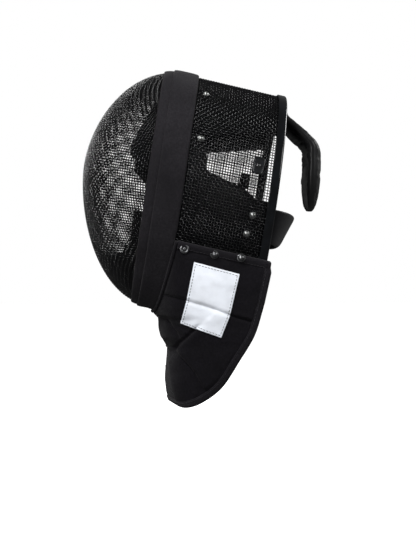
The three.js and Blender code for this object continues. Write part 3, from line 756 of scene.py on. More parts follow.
# %% [markdown]
# ## The bib's form
#
# The bib hangs from the band as one padded sheet and wraps round the throat. Its outline was cut
# flat and then eased round a neck, so here its form is worked out from a few given lines: how
# far forward the front hangs at each height, how wide it is, and where the hem runs. A place on
# it has two numbers: across, from the front midline to the rear edge, and down, seam to hem.

# %% Form of the bib
BIB_REACH = SIDE_LENGTH + 4.5
BIB_WALL = 4
BIB_LIFT = 3.1
BIB_HALF_WIDTH = 86
BIB_DROP = 168
BIB_DEPTH = 110
BIB_THROAT_BULGE = 13
BIB_THROAT_Y = -70.2
BIB_WIDEST_Y = -5
BIB_SIDE_RUN = 60
BIB_TUCK = 3
BIB_POWER = 2.6
HEM_WIDTH = 7.5
HEM_PROUD = 0.6
HEM_MIDDLE = np.array([-20, -230])
PIPING_RADIUS = 2.1
SEAM_TUCK = 1.6  # how far the bib's edge goes into the piping's seam
SEAM_SINK = 1.8  # how much lower it lies there
SINK_END = 0.1  # share of the side edge over which it rises again
side_edge_end = skin(BIB_TURN, BIB_REACH, BIB_LIFT + BIB_WALL)
BIB_CORNER_Y = float(side_edge_end[1]) + 1.2
BIB_CORNER_Z = float(side_edge_end[2]) + 5.2
FRONT_LINE = np.array(  # [share of the drop, share of the throat bulge]
    [
        [0.2, -1.3],
        [0.38, -1],
        [0.405, -0.6],
        [0.44, -0.52],
        [0.53, -0.34],
        [0.594, 0.23],
        [0.665, 0.14],
        [0.84, 0],
        [0.95, 0.14],
        [1, 0.55],
    ]
)
WIDTH_LINE = np.array([[0, 1], [0.35, 0.96], [0.7, 0.93], [1, 0.88]])  # [drop, half width]
HEM_LINE = np.array(  # [share of the depth from the rear corner, share of the drop]
    [
        [1, 0.996],
        [0.91, 1],
        [0.76, 0.966],
        [0.55, 0.868],
        [0.375, 0.708],
        [0.195, 0.528],
        [0.097, 0.343],
        [0.054, 0.217],
        [0.016, 0.07],
    ]
)
FRONT_SHARE = 8 / 18  # of the bib's width, that hangs from the piped seam
ON_MIDLINE = 1e-6


def turns_of(length):
    """Degrees of turn along the skin's side for a length in millimetres."""
    return math.degrees(length / RING_DOWN)


SHEET_TURN = BIB_TURN + turns_of(HEM_WIDTH)
SHEET_REACH = BIB_REACH - HEM_WIDTH


def seam_depth(turn):
    return band_rear(turn) + 2 * PIPING_RADIUS + CLEAR + LAP - SEAM_TUCK


def front_y(z):
    share = (BIB_CORNER_Z - z) / BIB_DROP
    return BIB_THROAT_Y + BIB_THROAT_BULGE * np.interp(share, *FRONT_LINE.T)


def half_width(z):
    return BIB_HALF_WIDTH * np.interp((BIB_CORNER_Z - z) / BIB_DROP, *WIDTH_LINE.T)


def place_of(y, z):
    """Place on the bib's level section: 0 at the front midline, 1 at its widest, past 1 behind."""
    span = BIB_WIDEST_Y - front_y(z)
    front = (BIB_WIDEST_Y - y) / span
    ahead = np.arccos(np.clip(front, 0, 1) ** (BIB_POWER / 2)) / (math.pi / 2)
    return np.where(front <= 0, 1 - front * span / BIB_SIDE_RUN, ahead)


def apron(place, z, inset):
    """The lower bib, which hangs straight."""
    half = half_width(z) - inset
    span = BIB_WIDEST_Y - front_y(z) - inset
    angle = np.minimum(place, 1) * math.pi / 2
    behind = np.maximum(place - 1, 0)
    x = half * power(np.sin(angle), 2 / BIB_POWER) - BIB_TUCK * behind**2
    y = BIB_WIDEST_Y - span * power(np.cos(angle), 2 / BIB_POWER) * (place < 1)
    return points_of(x, y + behind * BIB_SIDE_RUN, z)


def seam_points(across, inset):
    """The bib's upper edge: the piped seam in front, the side edge behind it."""
    front = np.clip(across / FRONT_SHARE, 0, 1)
    side = np.clip((across - FRONT_SHARE) / (1 - FRONT_SHARE), 0, 1)
    turn = 180 + (SHEET_TURN - 180) * front
    first = seam_depth(SHEET_TURN)
    depth = np.where(side > 0, first + (SHEET_REACH - first) * side, seam_depth(turn))
    sink = SEAM_SINK * np.clip(1 - side / SINK_END, 0, 1)
    return skin(turn, depth, BIB_LIFT + BIB_WALL - sink - inset)


def hem_points(across):
    """The hem's line in side view, as y and z."""
    line = smooth_line(HEM_LINE, 81) * [BIB_DEPTH, BIB_DROP]
    run = run_lengths(line, 0) / UNITS_PER_MM
    y = BIB_CORNER_Y - np.interp(across * run[-1], run, line[:, 0])
    z = BIB_CORNER_Z - np.interp(across * run[-1], run, line[:, 1])
    return y, z


def bib_points(across, down, inset=0):
    """Points of the bib; a negative across is the other side."""
    across, down = np.broadcast_arrays(np.asarray(across, float), down)
    side = np.abs(across)
    seam = seam_points(side, inset)
    hem_y, hem_z = hem_points(side)
    inwards = np.stack([HEM_MIDDLE[0] - hem_y, HEM_MIDDLE[1] - hem_z])
    inwards = inwards * HEM_WIDTH / np.linalg.norm(inwards, axis=0)
    middle = side < ON_MIDLINE
    hem_y = hem_y + np.where(middle, 0, inwards[0])
    hem_z = hem_z + np.where(middle, HEM_WIDTH, inwards[1])
    hem_place = np.where(middle, 0, place_of(hem_y, hem_z))
    seam_place = np.where(middle, 0, place_of(seam[..., 1], seam[..., 2]))
    pull = seam - apron(seam_place, seam[..., 2], inset)
    place = seam_place + (hem_place - seam_place) * down
    z = seam[..., 2] + (hem_z - seam[..., 2]) * down
    points = apron(place, z, inset) + pull * ((1 - down) ** 2)[..., None]
    points[..., 0] *= np.where(across < 0, -1, 1)
    return points


print("bib corner", np.round(bib_points(1, 0), 1), "hem corner", np.round(bib_points(1, 1), 1))

# %% [markdown]
# ## Folds of the bib
#
# Worn on a neck, the padded cloth buckles. A long crease crosses it where the upper part bends
# over the lower one, a deep fold runs from there to the throat, and the front strip turns away
# below it. Each fold is a line in side view with a depth, a width and a step: the layer on its
# left lies higher and sinks back over a reach. The relief is added along the sheet's own normals.

# %% Fold lines
BIB_FOLDS = [  # (line as y and z, depth, half width, step, reach of the step)
    ([(-78, -229), (-53, -236), (-26, -243.4), (5, -255), (23, -260.3), (38, -265)], 1.9, 1.6, 1.5, 12),
    ([(-30, -262), (-36.6, -267.8), (-55, -285.7), (-60, -296)], 3.0, 2.2, 2.4, 14),
    ([(-60, -296), (-55, -298), (-38, -318.5), (-27, -339), (-22, -352)], 1.8, 1.6, 3.4, 11),
    ([(-70, -256), (-66, -262), (-57, -277), (-53, -284)], 2.2, 1.7, 1.2, 8),
    ([(-62, -263), (-50, -269), (-41, -273)], 1.8, 1.7, 0.8, 6),
    ([(-62, -270), (-52, -276), (-45, -279)], 1.6, 1.6, 0.8, 6),
    ([(-70, -243), (-60, -250), (-50, -253)], 0.7, 2.4, 0.2, 6),
]
BIB_LOBES = [  # (y and z, size, rise)
    ((-70, -272), 10, 2.2),
    ((-62, -246), 9, 2.2),
    ((-10, -225), 30, 0.8),
]
FOLD_FADE = 8  # length over which a fold dies out at its ends
NECK_AXIS = (0, -5, -260)  # a point on the upright line through the neck


def line_distance(y, z, line):
    """Distance to a line of points, above 0 on its left, for arrays of places."""
    nearest = np.full(y.shape, 1e9)
    for (y0, z0), (y1, z1) in zip(line, line[1:]):
        run = np.hypot(y1 - y0, z1 - z0)
        share = np.clip(((y - y0) * (y1 - y0) + (z - z0) * (z1 - z0)) / run**2, 0, 1)
        gap = np.hypot(y - y0 - share * (y1 - y0), z - z0 - share * (z1 - z0))
        side = np.sign((y1 - y0) * (z - z0) - (z1 - z0) * (y - y0))
        nearest = np.where(gap < np.abs(nearest), gap * np.where(side < 0, -1, 1), nearest)
    return nearest


def fold_relief(y, z):
    """Height of the folds over the smooth bib, in millimetres."""
    height = np.zeros(y.shape)
    for line, depth, half, step, reach in BIB_FOLDS:
        gap = line_distance(y, z, line)
        end = np.minimum(*(np.hypot(y - line[k][0], z - line[k][1]) for k in (0, -1)))
        fade = np.clip(end / FOLD_FADE, 0, 1)
        height -= fade * depth * np.exp(-((gap / half) ** 2))
        height += fade * step * np.where(gap > 0, np.exp(-gap / reach) * (1 - np.exp(-gap / half)), 0)
    for (at_y, at_z), size, rise in BIB_LOBES:
        height += rise * np.exp(-(((y - at_y) ** 2 + (z - at_z) ** 2) / size**2))
    return height


def normals_of(points, outward):
    """Unit normals of a grid of points, on the side of a sample direction from the mask's axis."""
    normal = np.cross(np.gradient(points, axis=0), np.gradient(points, axis=1))
    normal /= np.maximum(np.linalg.norm(normal, axis=-1, keepdims=True), TINY)
    return normal * np.sign(np.sum(normal * outward, axis=-1, keepdims=True))


def from_axis(points):
    """Directions away from the neck's upright axis."""
    return (points - np.array(NECK_AXIS)) * np.array([1, 1, 0.2])


def smooth_step(value):
    value = np.clip(value, 0, 1)
    return value * value * (3 - 2 * value)


# %% [markdown]
# ## Bib cloth
#
# The cloth is a fine grid on the bib's form, with the folds, slow swelling between them and small
# wrinkles. All of that fades out at the seam and the hem, where tape holds the cloth flat. The
# padding makes the sheet 4 mm thick, and Solidify gives it that, inwards.

# %% Bib
BIB_WRINKLES = ((0.7, (30, 22, 14), 2), (0.3, (12, 10, 7), 3))
BIB_EASE = 0.4  # how far the cloth swells on the whole
BIB_CLOTH = BIB_WALL - 0.2
across = np.linspace(-1, 1, 261)[:, None]
down = np.linspace(0, 1, 111)[None, :]
smooth_bib = bib_points(across, down)
free = smooth_step(down / 0.06) * smooth_step((1 - down) / 0.05) * smooth_step((1 - np.abs(across)) / 0.05)
relief = fold_relief(smooth_bib[..., 1], smooth_bib[..., 2])
wrinkles = soft_noise(smooth_bib, *BIB_WRINKLES)
bib_out = normals_of(smooth_bib, from_axis(smooth_bib))
bib = sheet_from("bib_padded", smooth_bib + bib_out * ((relief + wrinkles + BIB_EASE) * free)[..., None])
outwards(bib, NECK_AXIS)
wall_of(bib, BIB_CLOTH)
placed(bib, "bib_cloth", bib_cloth, "bib")
bib_tree = BVHTree.FromObject(bib, bpy.context.evaluated_depsgraph_get())

# %% [markdown]
# ## Edge tape
#
# A folded tape binds the bib's raw edge: along the side edge, round the rear corner and down the
# hem. Its section is a flat loop with a round outer edge. Each station along it has a near point
# on the cloth, a far point at the edge and a normal, and sewing has puckered it a little. A row of
# stitches holds it, made as separate short threads that lie on its face.

# %% Tape
TAPE_HALF = BIB_WALL / 2 + HEM_PROUD + 0.35
TAPE_PUCKER = ((0.4, 7, 4), (0.3, 18, 5))
TAPE_SWELL = (0.25, 5, 6)
CORNER_FULLNESS = 1.25  # how square the tape turns the corner
HEM_STEP = 0.003  # share of the width, for slopes
TAPE_SECTION = np.array(  # [share from the cloth to the edge, share of the half thickness]
    [
        [-0.14, 0.7],
        [-0.06, 1.0],
        [0.12, 0.98],
        [0.55, 1.14],
        [0.86, 0.86],
        [0.98, 0.4],
        [0.98, -0.4],
        [0.86, -0.86],
        [0.55, -1.14],
        [0.12, -0.98],
        [-0.06, -1.0],
        [-0.14, -0.78],
    ]
)


def unit(vectors):
    return vectors / np.linalg.norm(vectors, axis=-1, keepdims=True)


def top_stations(count):
    """Near points, far points and normals of the tape along the bib's side edge."""
    depth = np.linspace(seam_depth(BIB_TURN) + 0.3, SHEET_REACH, count)
    middle = BIB_LIFT + BIB_WALL / 2
    near, far = skin(SHEET_TURN, depth, middle), skin(BIB_TURN, depth, middle)
    return near, far, unit(skin(BIB_TURN, depth, middle + 1) - far)


def corner_stations(count):
    """The same round the rear corner, about the cloth's own corner."""
    middle = BIB_LIFT + BIB_WALL / 2
    angle = np.radians(np.linspace(8, 82, count))
    turn = SHEET_TURN + (BIB_TURN - SHEET_TURN) * np.minimum(1, CORNER_FULLNESS * np.cos(angle))
    depth = SHEET_REACH + (BIB_REACH - SHEET_REACH) * np.minimum(1, CORNER_FULLNESS * np.sin(angle))
    far = skin(turn, depth, middle)
    near = np.broadcast_to(skin(SHEET_TURN, SHEET_REACH, middle), far.shape)
    return near, far, unit(skin(turn, depth, middle + 1) - far)


def hem_stations(across):
    """The same along the hem."""
    near = bib_points(across, 1, BIB_WALL / 2)
    ahead, behind = np.minimum(across + HEM_STEP, 1), np.maximum(across - HEM_STEP, 0)
    along = bib_points(ahead, 1) - bib_points(behind, 1)
    along[across == 0] = [1, 0, 0]
    along = unit(along)
    fall = unit(bib_points(across, 1) - bib_points(across, 1 - HEM_STEP))
    normal = unit(np.cross(fall, along))
    away = unit(fall - along * np.sum(fall * along, axis=-1, keepdims=True))
    return near, near + away * HEM_WIDTH, normal


hem_across = np.linspace(1, 0, 121)
parts = [top_stations(60), corner_stations(11), hem_stations(hem_across)]
halves = (np.concatenate([part[k] for part in parts]) for k in range(3))
near, far, normal = (np.concatenate([side, mirrored(side[-2::-1])]) for side in halves)
normal *= np.sign(np.sum(normal * from_axis(near), axis=-1, keepdims=True))
pucker = soft_noise(near, *TAPE_PUCKER)
half = TAPE_HALF + soft_noise(near, TAPE_SWELL)


def tape_point(share, rise):
    """Points along the whole tape, by share of its width and of its half thickness."""
    edge = near + (far - near) * share
    return edge + normal * (half * rise + pucker * np.clip(share, 0, 1))[:, None]


tape_loops = np.stack([tape_point(share, rise) for share, rise in TAPE_SECTION], axis=1)
tape = loft_from("edge_tape", tape_loops)
placed(tape, "hem_tape", tape_cloth, "bib_hem")

# %% Stitches of the tape
def stitches(points, normals, length, gap, sink):
    """Short threads along a line of points: each dips into the cloth at both its ends."""
    run = np.concatenate([[0], np.cumsum(np.linalg.norm(np.diff(points, axis=0), axis=1))])
    routes = []
    for start in np.arange(0, run[-1] - length, length + gap):
        at = start + length * np.array([0, 0.18, 0.82, 1])
        place = np.stack([np.interp(at, run, points[:, k]) for k in range(3)], axis=1)
        lean = np.stack([np.interp(at, run, normals[:, k]) for k in range(3)], axis=1)
        routes.append(place + lean * np.array([[-sink], [0], [0], [-sink]]))
    return routes


STITCH_LINE = (0.12, 1.1)  # share of the tape's width and half thickness
STITCH = (2.6, 1.0, 0.25)  # length, gap and how far its ends sink
THREAD_RADIUS = 0.24
tape_stitches = stitches(tape_point(*STITCH_LINE), normal, *STITCH)
placed(tubes("tape_stitches", tape_stitches, THREAD_RADIUS), "hem_tape", thread)

# %% [markdown]
# ## Piping of the front seam
#
# Where the bib leaves the band, a cord wrapped in the same tape fills the seam and stands up as a
# thin roll. It is one loft of round sections along the skin, with small swellings from its seam.

# %% Piping
PIPING_SWELL = (0.12, 6, 7)
turns = np.linspace(BIB_TURN + 0.5, 359.5 - BIB_TURN, 161)
angles = np.radians(np.arange(0, 360, 30))
rolls = skin(turns, band_rear(turns) + CLEAR + PIPING_RADIUS, BIB_LIFT + BIB_WALL / 2)
swell = PIPING_RADIUS * (1 + soft_noise(rolls, PIPING_SWELL))
piping_loops = skin(
    turns[:, None],
    (band_rear(turns) + CLEAR + PIPING_RADIUS)[:, None] + swell[:, None] * np.cos(angles),
    BIB_LIFT + BIB_WALL / 2 + swell[:, None] * np.sin(angles),
)
piping = loft_from("bib_piping_roll", piping_loops)
placed(piping, "hem_tape", tape_cloth, "bib_piping")

# %% [markdown]
# ## Label
#
# A white woven label is sewn to the left side of the bib. It is bare. It was sewn on flat cloth,
# so it bends with the bib: its points are dropped sideways onto the folded cloth and lifted a
# little. Dark stitches run round it, just inside its edge, and the bib's crease crosses it.

# %% Label
LABEL_WIDTH = 51
LABEL_HEIGHT = 71
LABEL_ROWS = np.array(  # [share of the height, left end as y and z, right end as y and z]
    [
        [0, -39.7, -194.9, 10.6, -208.3],
        [0.62, -47.6, -238, -0.1, -253.6],
        [1, -53.8, -262.6, -9.6, -278.2],
    ]
)
LABEL_WALL = 0.6
LABEL_GAP = 0.5  # between the cloth and the label's back
LABEL_INSET = 2.2
LABEL_INSIDE = (0, -22, -236)
LABEL_EASING = 3  # rounds of smoothing, because the label is stiffer than the cloth
LABEL_STITCH = (2.2, 1.3, 0.3)  # length, gap and how far its ends sink
LABEL_THREAD_RADIUS = 0.28
LABEL_THREAD_LIFT = LABEL_WALL + 0.62


def label_points(along, down, lift):
    """Points on the label, by share of its width and height."""
    rows = LABEL_ROWS[:, 0]
    left_y, left_z, right_y, right_z = (np.interp(down, rows, ends) for ends in LABEL_ROWS[:, 1:].T)
    y = left_y + (right_y - left_y) * along
    z = left_z + (right_z - left_z) * along
    points = np.empty(y.shape + (3,))
    normals = np.empty(y.shape + (3,))
    for index in np.ndindex(y.shape):
        start = Vector((0.2, y[index] * MM, z[index] * MM))
        place, lean = bib_tree.ray_cast(start, Vector((-1, 0, 0)))[:2]
        points[index] = np.array(place) / MM + np.array(lean) * lift
        normals[index] = lean
    return points, normals


cells = np.meshgrid(np.linspace(0, 1, 52), np.linspace(0, 1, 72), indexing="ij")
surface = label_points(*cells, LABEL_GAP + LABEL_WALL)[0]
for _ in range(LABEL_EASING):
    beside = surface[:-2, 1:-1] + surface[2:, 1:-1]
    surface[1:-1, 1:-1] = (beside + surface[1:-1, :-2] + surface[1:-1, 2:]) / 4
label = sheet_from("label_bare", surface)
outwards(label, LABEL_INSIDE)
wall_of(label, LABEL_WALL)
print("label sewn on")

# %% The label's finish
label_white = new_finish("label_white", (0.67, 0.69, 0.74), 0.75, {"Specular IOR Level": 0.2})
places = add_node(label_white, "ShaderNodeTexCoord")
satin = bands(label_white, places.outputs["UV"], 0.45, "X")
lines = bands(label_white, places.outputs["UV"], 0.7, "Y")
soiled = cloudy(label_white, places.outputs["Object"], 14)
whites = two_colours(label_white, soiled, (0.63, 0.655, 0.7), (0.7, 0.73, 0.785), 0.3, 0.6)
into_shader(label_white, "Base Color", whites)
bumped(label_white, [(combined(label_white, "MULTIPLY", satin, lines), 0.06), (soiled, 0.2)])
placed(label, "label", label_white, "label")

# %% Stitches of the label
border = []
low = np.array([LABEL_INSET / LABEL_WIDTH, LABEL_INSET / LABEL_HEIGHT])
high = 1 - low
label_corners = [(low[0], low[1]), (high[0], low[1]), (high[0], high[1]), (low[0], high[1])]
for (a0, b0), (a1, b1) in zip(label_corners, label_corners[1:] + label_corners[:1]):
    share = np.linspace(0, 1, 60)
    line, lean = label_points(a0 + (a1 - a0) * share, b0 + (b1 - b0) * share, LABEL_THREAD_LIFT)
    border += stitches(line, lean, *LABEL_STITCH)
label_thread = new_finish("label_thread", (0.01, 0.01, 0.012), 0.8, {"Specular IOR Level": 0.1})
placed(tubes("label_stitches", border, LABEL_THREAD_RADIUS), "hem_tape", label_thread)

# %% [markdown]
# ## Covers puffed up as cloth
#
# A cover pulled over foam bulges where it is free and stays down where it is sewn or glued. Noise
# can't show that, so the linings and the tongue are blown up with Blender's cloth simulation: air
# pressure inside, no weight, and the sewn corners pinned. The cover grows a little, which puckers
# it. How far a corner may move is capped, because the real foam would hold the cover back.

# %% Puffing up with a cloth simulation
PRESSURE = 4
SIM_FRAMES = 20
CLOTH_GROWTH = -0.03  # a negative shrinking: the cover is too large for its foam


def puffed(piece, held, cap_mm):
    """Blows up a closed pad as cloth; held is 1 at corners that are sewn or glued, and else 0."""
    start = np.empty(len(piece.data.vertices) * 3)
    piece.data.vertices.foreach_get("co", start)
    pins = piece.vertex_groups.new(name="held")
    pins.add([int(index) for index in np.nonzero(held)[0]], 1, "REPLACE")
    cloth = piece.modifiers.new("cloth", "CLOTH")
    cloth.settings.use_pressure = True
    cloth.settings.uniform_pressure_force = PRESSURE
    cloth.settings.vertex_group_mass = pins.name
    cloth.settings.shrink_min = CLOTH_GROWTH
    cloth.settings.effector_weights.gravity = 0
    cloth.point_cache.frame_end = SIM_FRAMES
    for step in range(1, SIM_FRAMES + 1):
        bpy.context.scene.frame_set(step)
    apply_all(piece)
    bpy.context.scene.frame_set(1)
    end = np.empty_like(start)
    piece.data.vertices.foreach_get("co", end)
    moved = (end - start).reshape(-1, 3)
    far = np.linalg.norm(moved, axis=1, keepdims=True) / MM
    kept = start.reshape(-1, 3) + moved * np.minimum(1, cap_mm / np.maximum(far, TINY))
    piece.data.vertices.foreach_set("co", kept.ravel())
    piece.vertex_groups.clear()
    piece.data.update()
    print(piece.name, "swelled by up to", round(float(far.max()), 2), "mm, capped at", cap_mm)


# %% [markdown]
# ## Linings
#
# Foam pads covered in cloth lie inside the nets: one over the crown, one on each cheek, and a strip
# above and below the face. Each is a loft that is thick in its middle and rounds down to a sewn
# edge. The round edge is a quarter circle measured in real length, so all pads share one edge. A
# pad starts thinner than it is, by the swelling that it gets.

# %% Pads
PAD_LIFT = -(MESH_WALL + LAP)
PAD_REAR = SIDE_LENGTH - RIM_WIDTH + 3.5  # the cover ends over the rim's inner leg
PAD_FRONT = 2 * CLEAR
PAD_STEP = 2  # how much lower the cover lies where it passes over the leg
PAD_EDGE = 7  # length of the rounding
PAD_SEAM = 2.2  # thickness of the sewn edge
PAD_SEWN = 0.35  # where the rounding is below this, stitches hold the cover
PAD_CAP = 2  # how far its cover may swell
PAD_THIN = PAD_CAP * 0.6  # how much thinner it starts
PAD_LUMPS = ((0.5, 24, 0), (0.25, 9, 1))  # (height, patch size, seed after the pad's own)
CROWN_PAD_EDGE = 7
CHEEK_PAD = 9
FACE_PAD = 8
FACE_PAD_REACH = 40
CROWN_EDGE = np.array([[0, 0.71], [0.32, 0.71], [0.63, 0.65], [0.95, 0.58]])
CHEEK_EDGE = np.array(
    [
        [0, 0.73],
        [0.315, 0.73],
        [0.33, 0.935],
        [0.6, 0.98],
        [0.68, 0.99],
        [0.77, 1.035],
        [0.81, 1.055],
        [0.95, 1.055],
    ]
)
CHEEK_END_TURN = 128


def edge_rounding(points):
    """From 0 at the edges of a grid of points to 1 inside, by real length."""
    runs = []
    for axis in (0, 1):
        run = run_lengths(points, axis) / UNITS_PER_MM
        total = np.take(run, [-1], axis=axis)
        runs.append(np.minimum(run, total - run))
    near = np.clip(np.minimum(*runs) / PAD_EDGE, 0, 1)
    return np.sqrt(1 - (1 - near) ** 2)


def pad(name, node, turns, depths, wall, seed):
    """A pad under the net: turns and depths are grids, wall is its full thickness on them."""
    low = PAD_STEP * smooth_step((depths - (SIDE_LENGTH - RIM_WIDTH - 3)) / 3)
    outer = skin(turns, depths, PAD_LIFT - low)
    round_edge = edge_rounding(outer)
    lumps = soft_noise(outer, *((height, size, seed + after) for height, size, after in PAD_LUMPS))
    thick = PAD_SEAM + (wall - PAD_THIN - PAD_SEAM + lumps) * round_edge
    inner = skin(turns, depths, PAD_LIFT - low - np.minimum(thick, wall))
    loops = np.concatenate([outer, inner[:, ::-1]], axis=1)
    piece = loft_from(name, loops)
    glued = np.ones(outer.shape[:2])
    sewn = np.where(round_edge[:, ::-1] < PAD_SEWN, 1, 0)
    puffed(piece, np.concatenate([glued, sewn], axis=1).ravel(), PAD_CAP)
    placed(piece, "lining", lining_cloth, node)


side_depths = np.concatenate([[0, 0.01, 0.03, 0.055], np.linspace(0.08, 0.92, 40), [0.945, 0.97, 0.99, 1]])
side_depths = (PAD_FRONT + (PAD_REAR - PAD_FRONT) * side_depths)[:, None]
side_shares = np.sin(np.linspace(-math.pi / 2, math.pi / 2, 81))[None, :]
all_depths = side_depths + 0 * side_shares
crown_turns = 90 * np.interp(side_depths / SIDE_LENGTH, *CROWN_EDGE.T) * side_shares
crown_wall = CROWN_PAD + (CROWN_PAD_EDGE - CROWN_PAD) * np.abs(side_shares) ** 4 + 0 * side_depths
pad("crown_lining", "crown_pad", crown_turns, all_depths, crown_wall, 8)
cheek_shares = (side_shares + 1) / 2
cheek_from = 90 * np.interp(side_depths / SIDE_LENGTH, *CHEEK_EDGE.T)
cheek_turns = cheek_from + (CHEEK_END_TURN - cheek_from) * cheek_shares
cheek_wall = CHEEK_PAD + 0 * cheek_turns
for side, sign in (("left", 1), ("right", -1)):
    pad("cheek_lining_" + side, "cheek_pad_" + side, sign * cheek_turns, all_depths, cheek_wall, 10)

# %% Pads of the face opening
# Rows are [turn from the crown, share of the reach].
BROW_REACH = np.array([[0, 0.5], [45, 0.55], [77, 1.12], [83, 1.08], [92, 0.55]])
CHIN_REACH = np.array([[113, 0.75], [130, 0.78], [137, 0.9], [150, 1.45], [165, 1.68], [180, 1.75]])


def face_pad(name, node, turns, reaches, seed):
    """A pad of the face opening, from the ring's plane forwards, by a reach for each turn."""
    from_crown = 180 - np.abs(180 - np.abs(turns))
    reach = FACE_PAD_REACH * np.interp(from_crown, *reaches.T)[:, None]
    shares = ((np.sin(np.linspace(-math.pi / 2, math.pi / 2, 31)) + 1) / 2)[None, :]
    depths = -PAD_FRONT - (reach - PAD_FRONT) * shares
    pad(name, node, turns[:, None] + 0 * shares, depths, FACE_PAD + 0 * depths, seed)


brow_end, chin_start = BROW_REACH[-1, 0], CHIN_REACH[0, 0]
face_pad("brow_lining", "brow_pad", np.linspace(-brow_end, brow_end, 151), BROW_REACH, 12)
face_pad("chin_lining", "chin_pad", np.linspace(chin_start, 360 - chin_start, 121), CHIN_REACH, 14)

# %% [markdown]
# ## Spring tongue
#
# A padded spring hooks over the back of the head: its arm comes from inside the rim's crown, bends
# and ends in a hanging tail. A smooth line runs through a few given stations, and a rounded
# section is swept along it. A corded edge runs round the cover and pins it while it is puffed up,
# and the cloth creases at the bend. The tail is hollow towards the head.

# %% Tongue
TONGUE_WIDTH = 58
TONGUE_WALL = 12
TONGUE_ARM_RUN = 36
TONGUE_ARM_DROP = 60
TONGUE_TAIL = 64
TONGUE_CORD = 0.86  # the corded edges start at this share of the half width
TONGUE_CAP = 1.2  # how far its cover may swell
TONGUE_FIXED = 3  # stations at its root that don't swell
TONGUE_THIN = 0.25  # how much thinner its sides are
TONGUE_CUP = 4.5  # how far the tail's sides bend round the head
CUP_FROM = TONGUE_ARM_DROP * 0.7  # how far down that starts
CUP_RUN = 20
CUP_FLAT = 0.4  # share of the width, squared, that stays in place
CORD_HEIGHT = 0.16
CORD_AT = 0.9  # share of the half width
CORD_WIDTH = 0.05
CREASE_REACH = 12
CREASE_TURNS = 1.1  # radians for each millimetre from the bend
CREASE_DEPTH = 0.6
TONGUE_LUMPS = (0.35, (16, 9, 7), 16)
TONGUE_ROOT_TURN = 13.5  # where the rim is as high as the tongue's corners
TONGUE_ARM = np.array(  # [share of the run, share of the drop, wall, width]
    [
        [0, 0, 0.4, 0.82],
        [0.01, 0.12, 0.7, 0.88],
        [0.08, 0.31, 1.05, 0.94],
        [0.51, 0.56, 1.15, 1],
        [0.79, 0.72, 1.2, 1],
        [0.96, 0.86, 1.3, 1],
    ]
)
TONGUE_TAIL_LINE = np.array(  # [share of the tail, lean forwards, wall, width]
    [
        [0.1, 0, 1.3, 1],
        [0.4, 0.01, 1.3, 1],
        [0.65, 0.02, 1.15, 0.93],
        [0.85, 0.03, 0.85, 0.76],
        [0.95, 0.03, 0.5, 0.55],
        [1, 0.03, 0.1, 0.36],
    ]
)


rim_side = skin(TONGUE_ROOT_TURN, SIDE_LENGTH, rim_in)
tongue_start = np.array([rim_side[1] - TONGUE_WALL / 4, rim_side[2] - LAP])
arm = TONGUE_ARM.copy()
arm[:, :2] = tongue_start + TONGUE_ARM[:, :2] * [TONGUE_ARM_RUN, -TONGUE_ARM_DROP]
bend = tongue_start + [TONGUE_ARM_RUN, -TONGUE_ARM_DROP]
tail = TONGUE_TAIL_LINE.copy()
tail[:, :2] = bend - TONGUE_TAIL_LINE[:, 1::-1] * TONGUE_TAIL
stations = smooth_line(np.concatenate([arm, tail]), 110)
way = unit(np.gradient(stations[:, :2], axis=0))
angle = np.radians(np.arange(0, 360, 7.5))
side_share = power(np.cos(angle), 0.45)
wall_share = power(np.sin(angle), 0.7)
cord_edge = CORD_HEIGHT * np.exp(-(((np.abs(side_share) - CORD_AT) / CORD_WIDTH) ** 2))
half_wide = stations[:, 3] * TONGUE_WIDTH / 2
half_thick = stations[:, 2] * TONGUE_WALL / 2
tongue_loops = np.zeros((len(stations), len(angle), 3))
tongue_loops[..., 0] = half_wide[:, None] * side_share
thin = 1 - TONGUE_THIN * side_share**2
cup = TONGUE_CUP * smooth_step((tongue_start[1] - stations[:, 1] - CUP_FROM) / CUP_RUN)[:, None]
lift = half_thick[:, None] * (wall_share * thin + np.sign(wall_share) * cord_edge)
lift = lift - cup * (side_share**2 - CUP_FLAT)
tongue_loops[..., 1] = stations[:, None, 0] - way[:, None, 1] * lift
tongue_loops[..., 2] = stations[:, None, 1] + way[:, None, 0] * lift
bend_gap = np.linalg.norm(stations[:, :2] - bend, axis=1)
creasing = np.exp(-((bend_gap / CREASE_REACH) ** 2)) * np.sin(bend_gap * CREASE_TURNS)
creasing = creasing[:, None] * (wall_share < 0)
wrinkle = CREASE_DEPTH * creasing + soft_noise(tongue_loops, TONGUE_LUMPS)
tongue_loops[..., 1] -= way[:, None, 1] * wrinkle * wall_share
tongue_loops[..., 2] += way[:, None, 0] * wrinkle * wall_share
tongue = loft_from("tongue_padded", tongue_loops)
corded = (np.abs(side_share) > TONGUE_CORD) | (np.arange(len(stations)) < TONGUE_FIXED)[:, None]
puffed(tongue, corded.ravel(), TONGUE_CAP)
placed(tongue, "tongue_cover", tongue_cloth, "tongue")

# %% [markdown]
# ## Back strap
#
# A wide strap holds the mask to the back of the head. It is fixed inside the rim on both sides and
# stands out further at its upper edge than at its lower one, so it leans. Its edges are bound.

# %% Strap
STRAP_WIDTH = 43
STRAP_WALL = 2
STRAP_BULGE = 37
STRAP_LOW_BULGE = 22
STRAP_DIP = 5
STRAP_TURN = 98
STRAP_END_ANGLE = 84
STRAP_EDGE = 4  # width of the binding
STRAP_BINDING = 0.35  # how much thicker it is
STRAP_CURL = 3.5  # how far its edges curl in towards the neck
STRAP_CURL_SHARE = 0.16


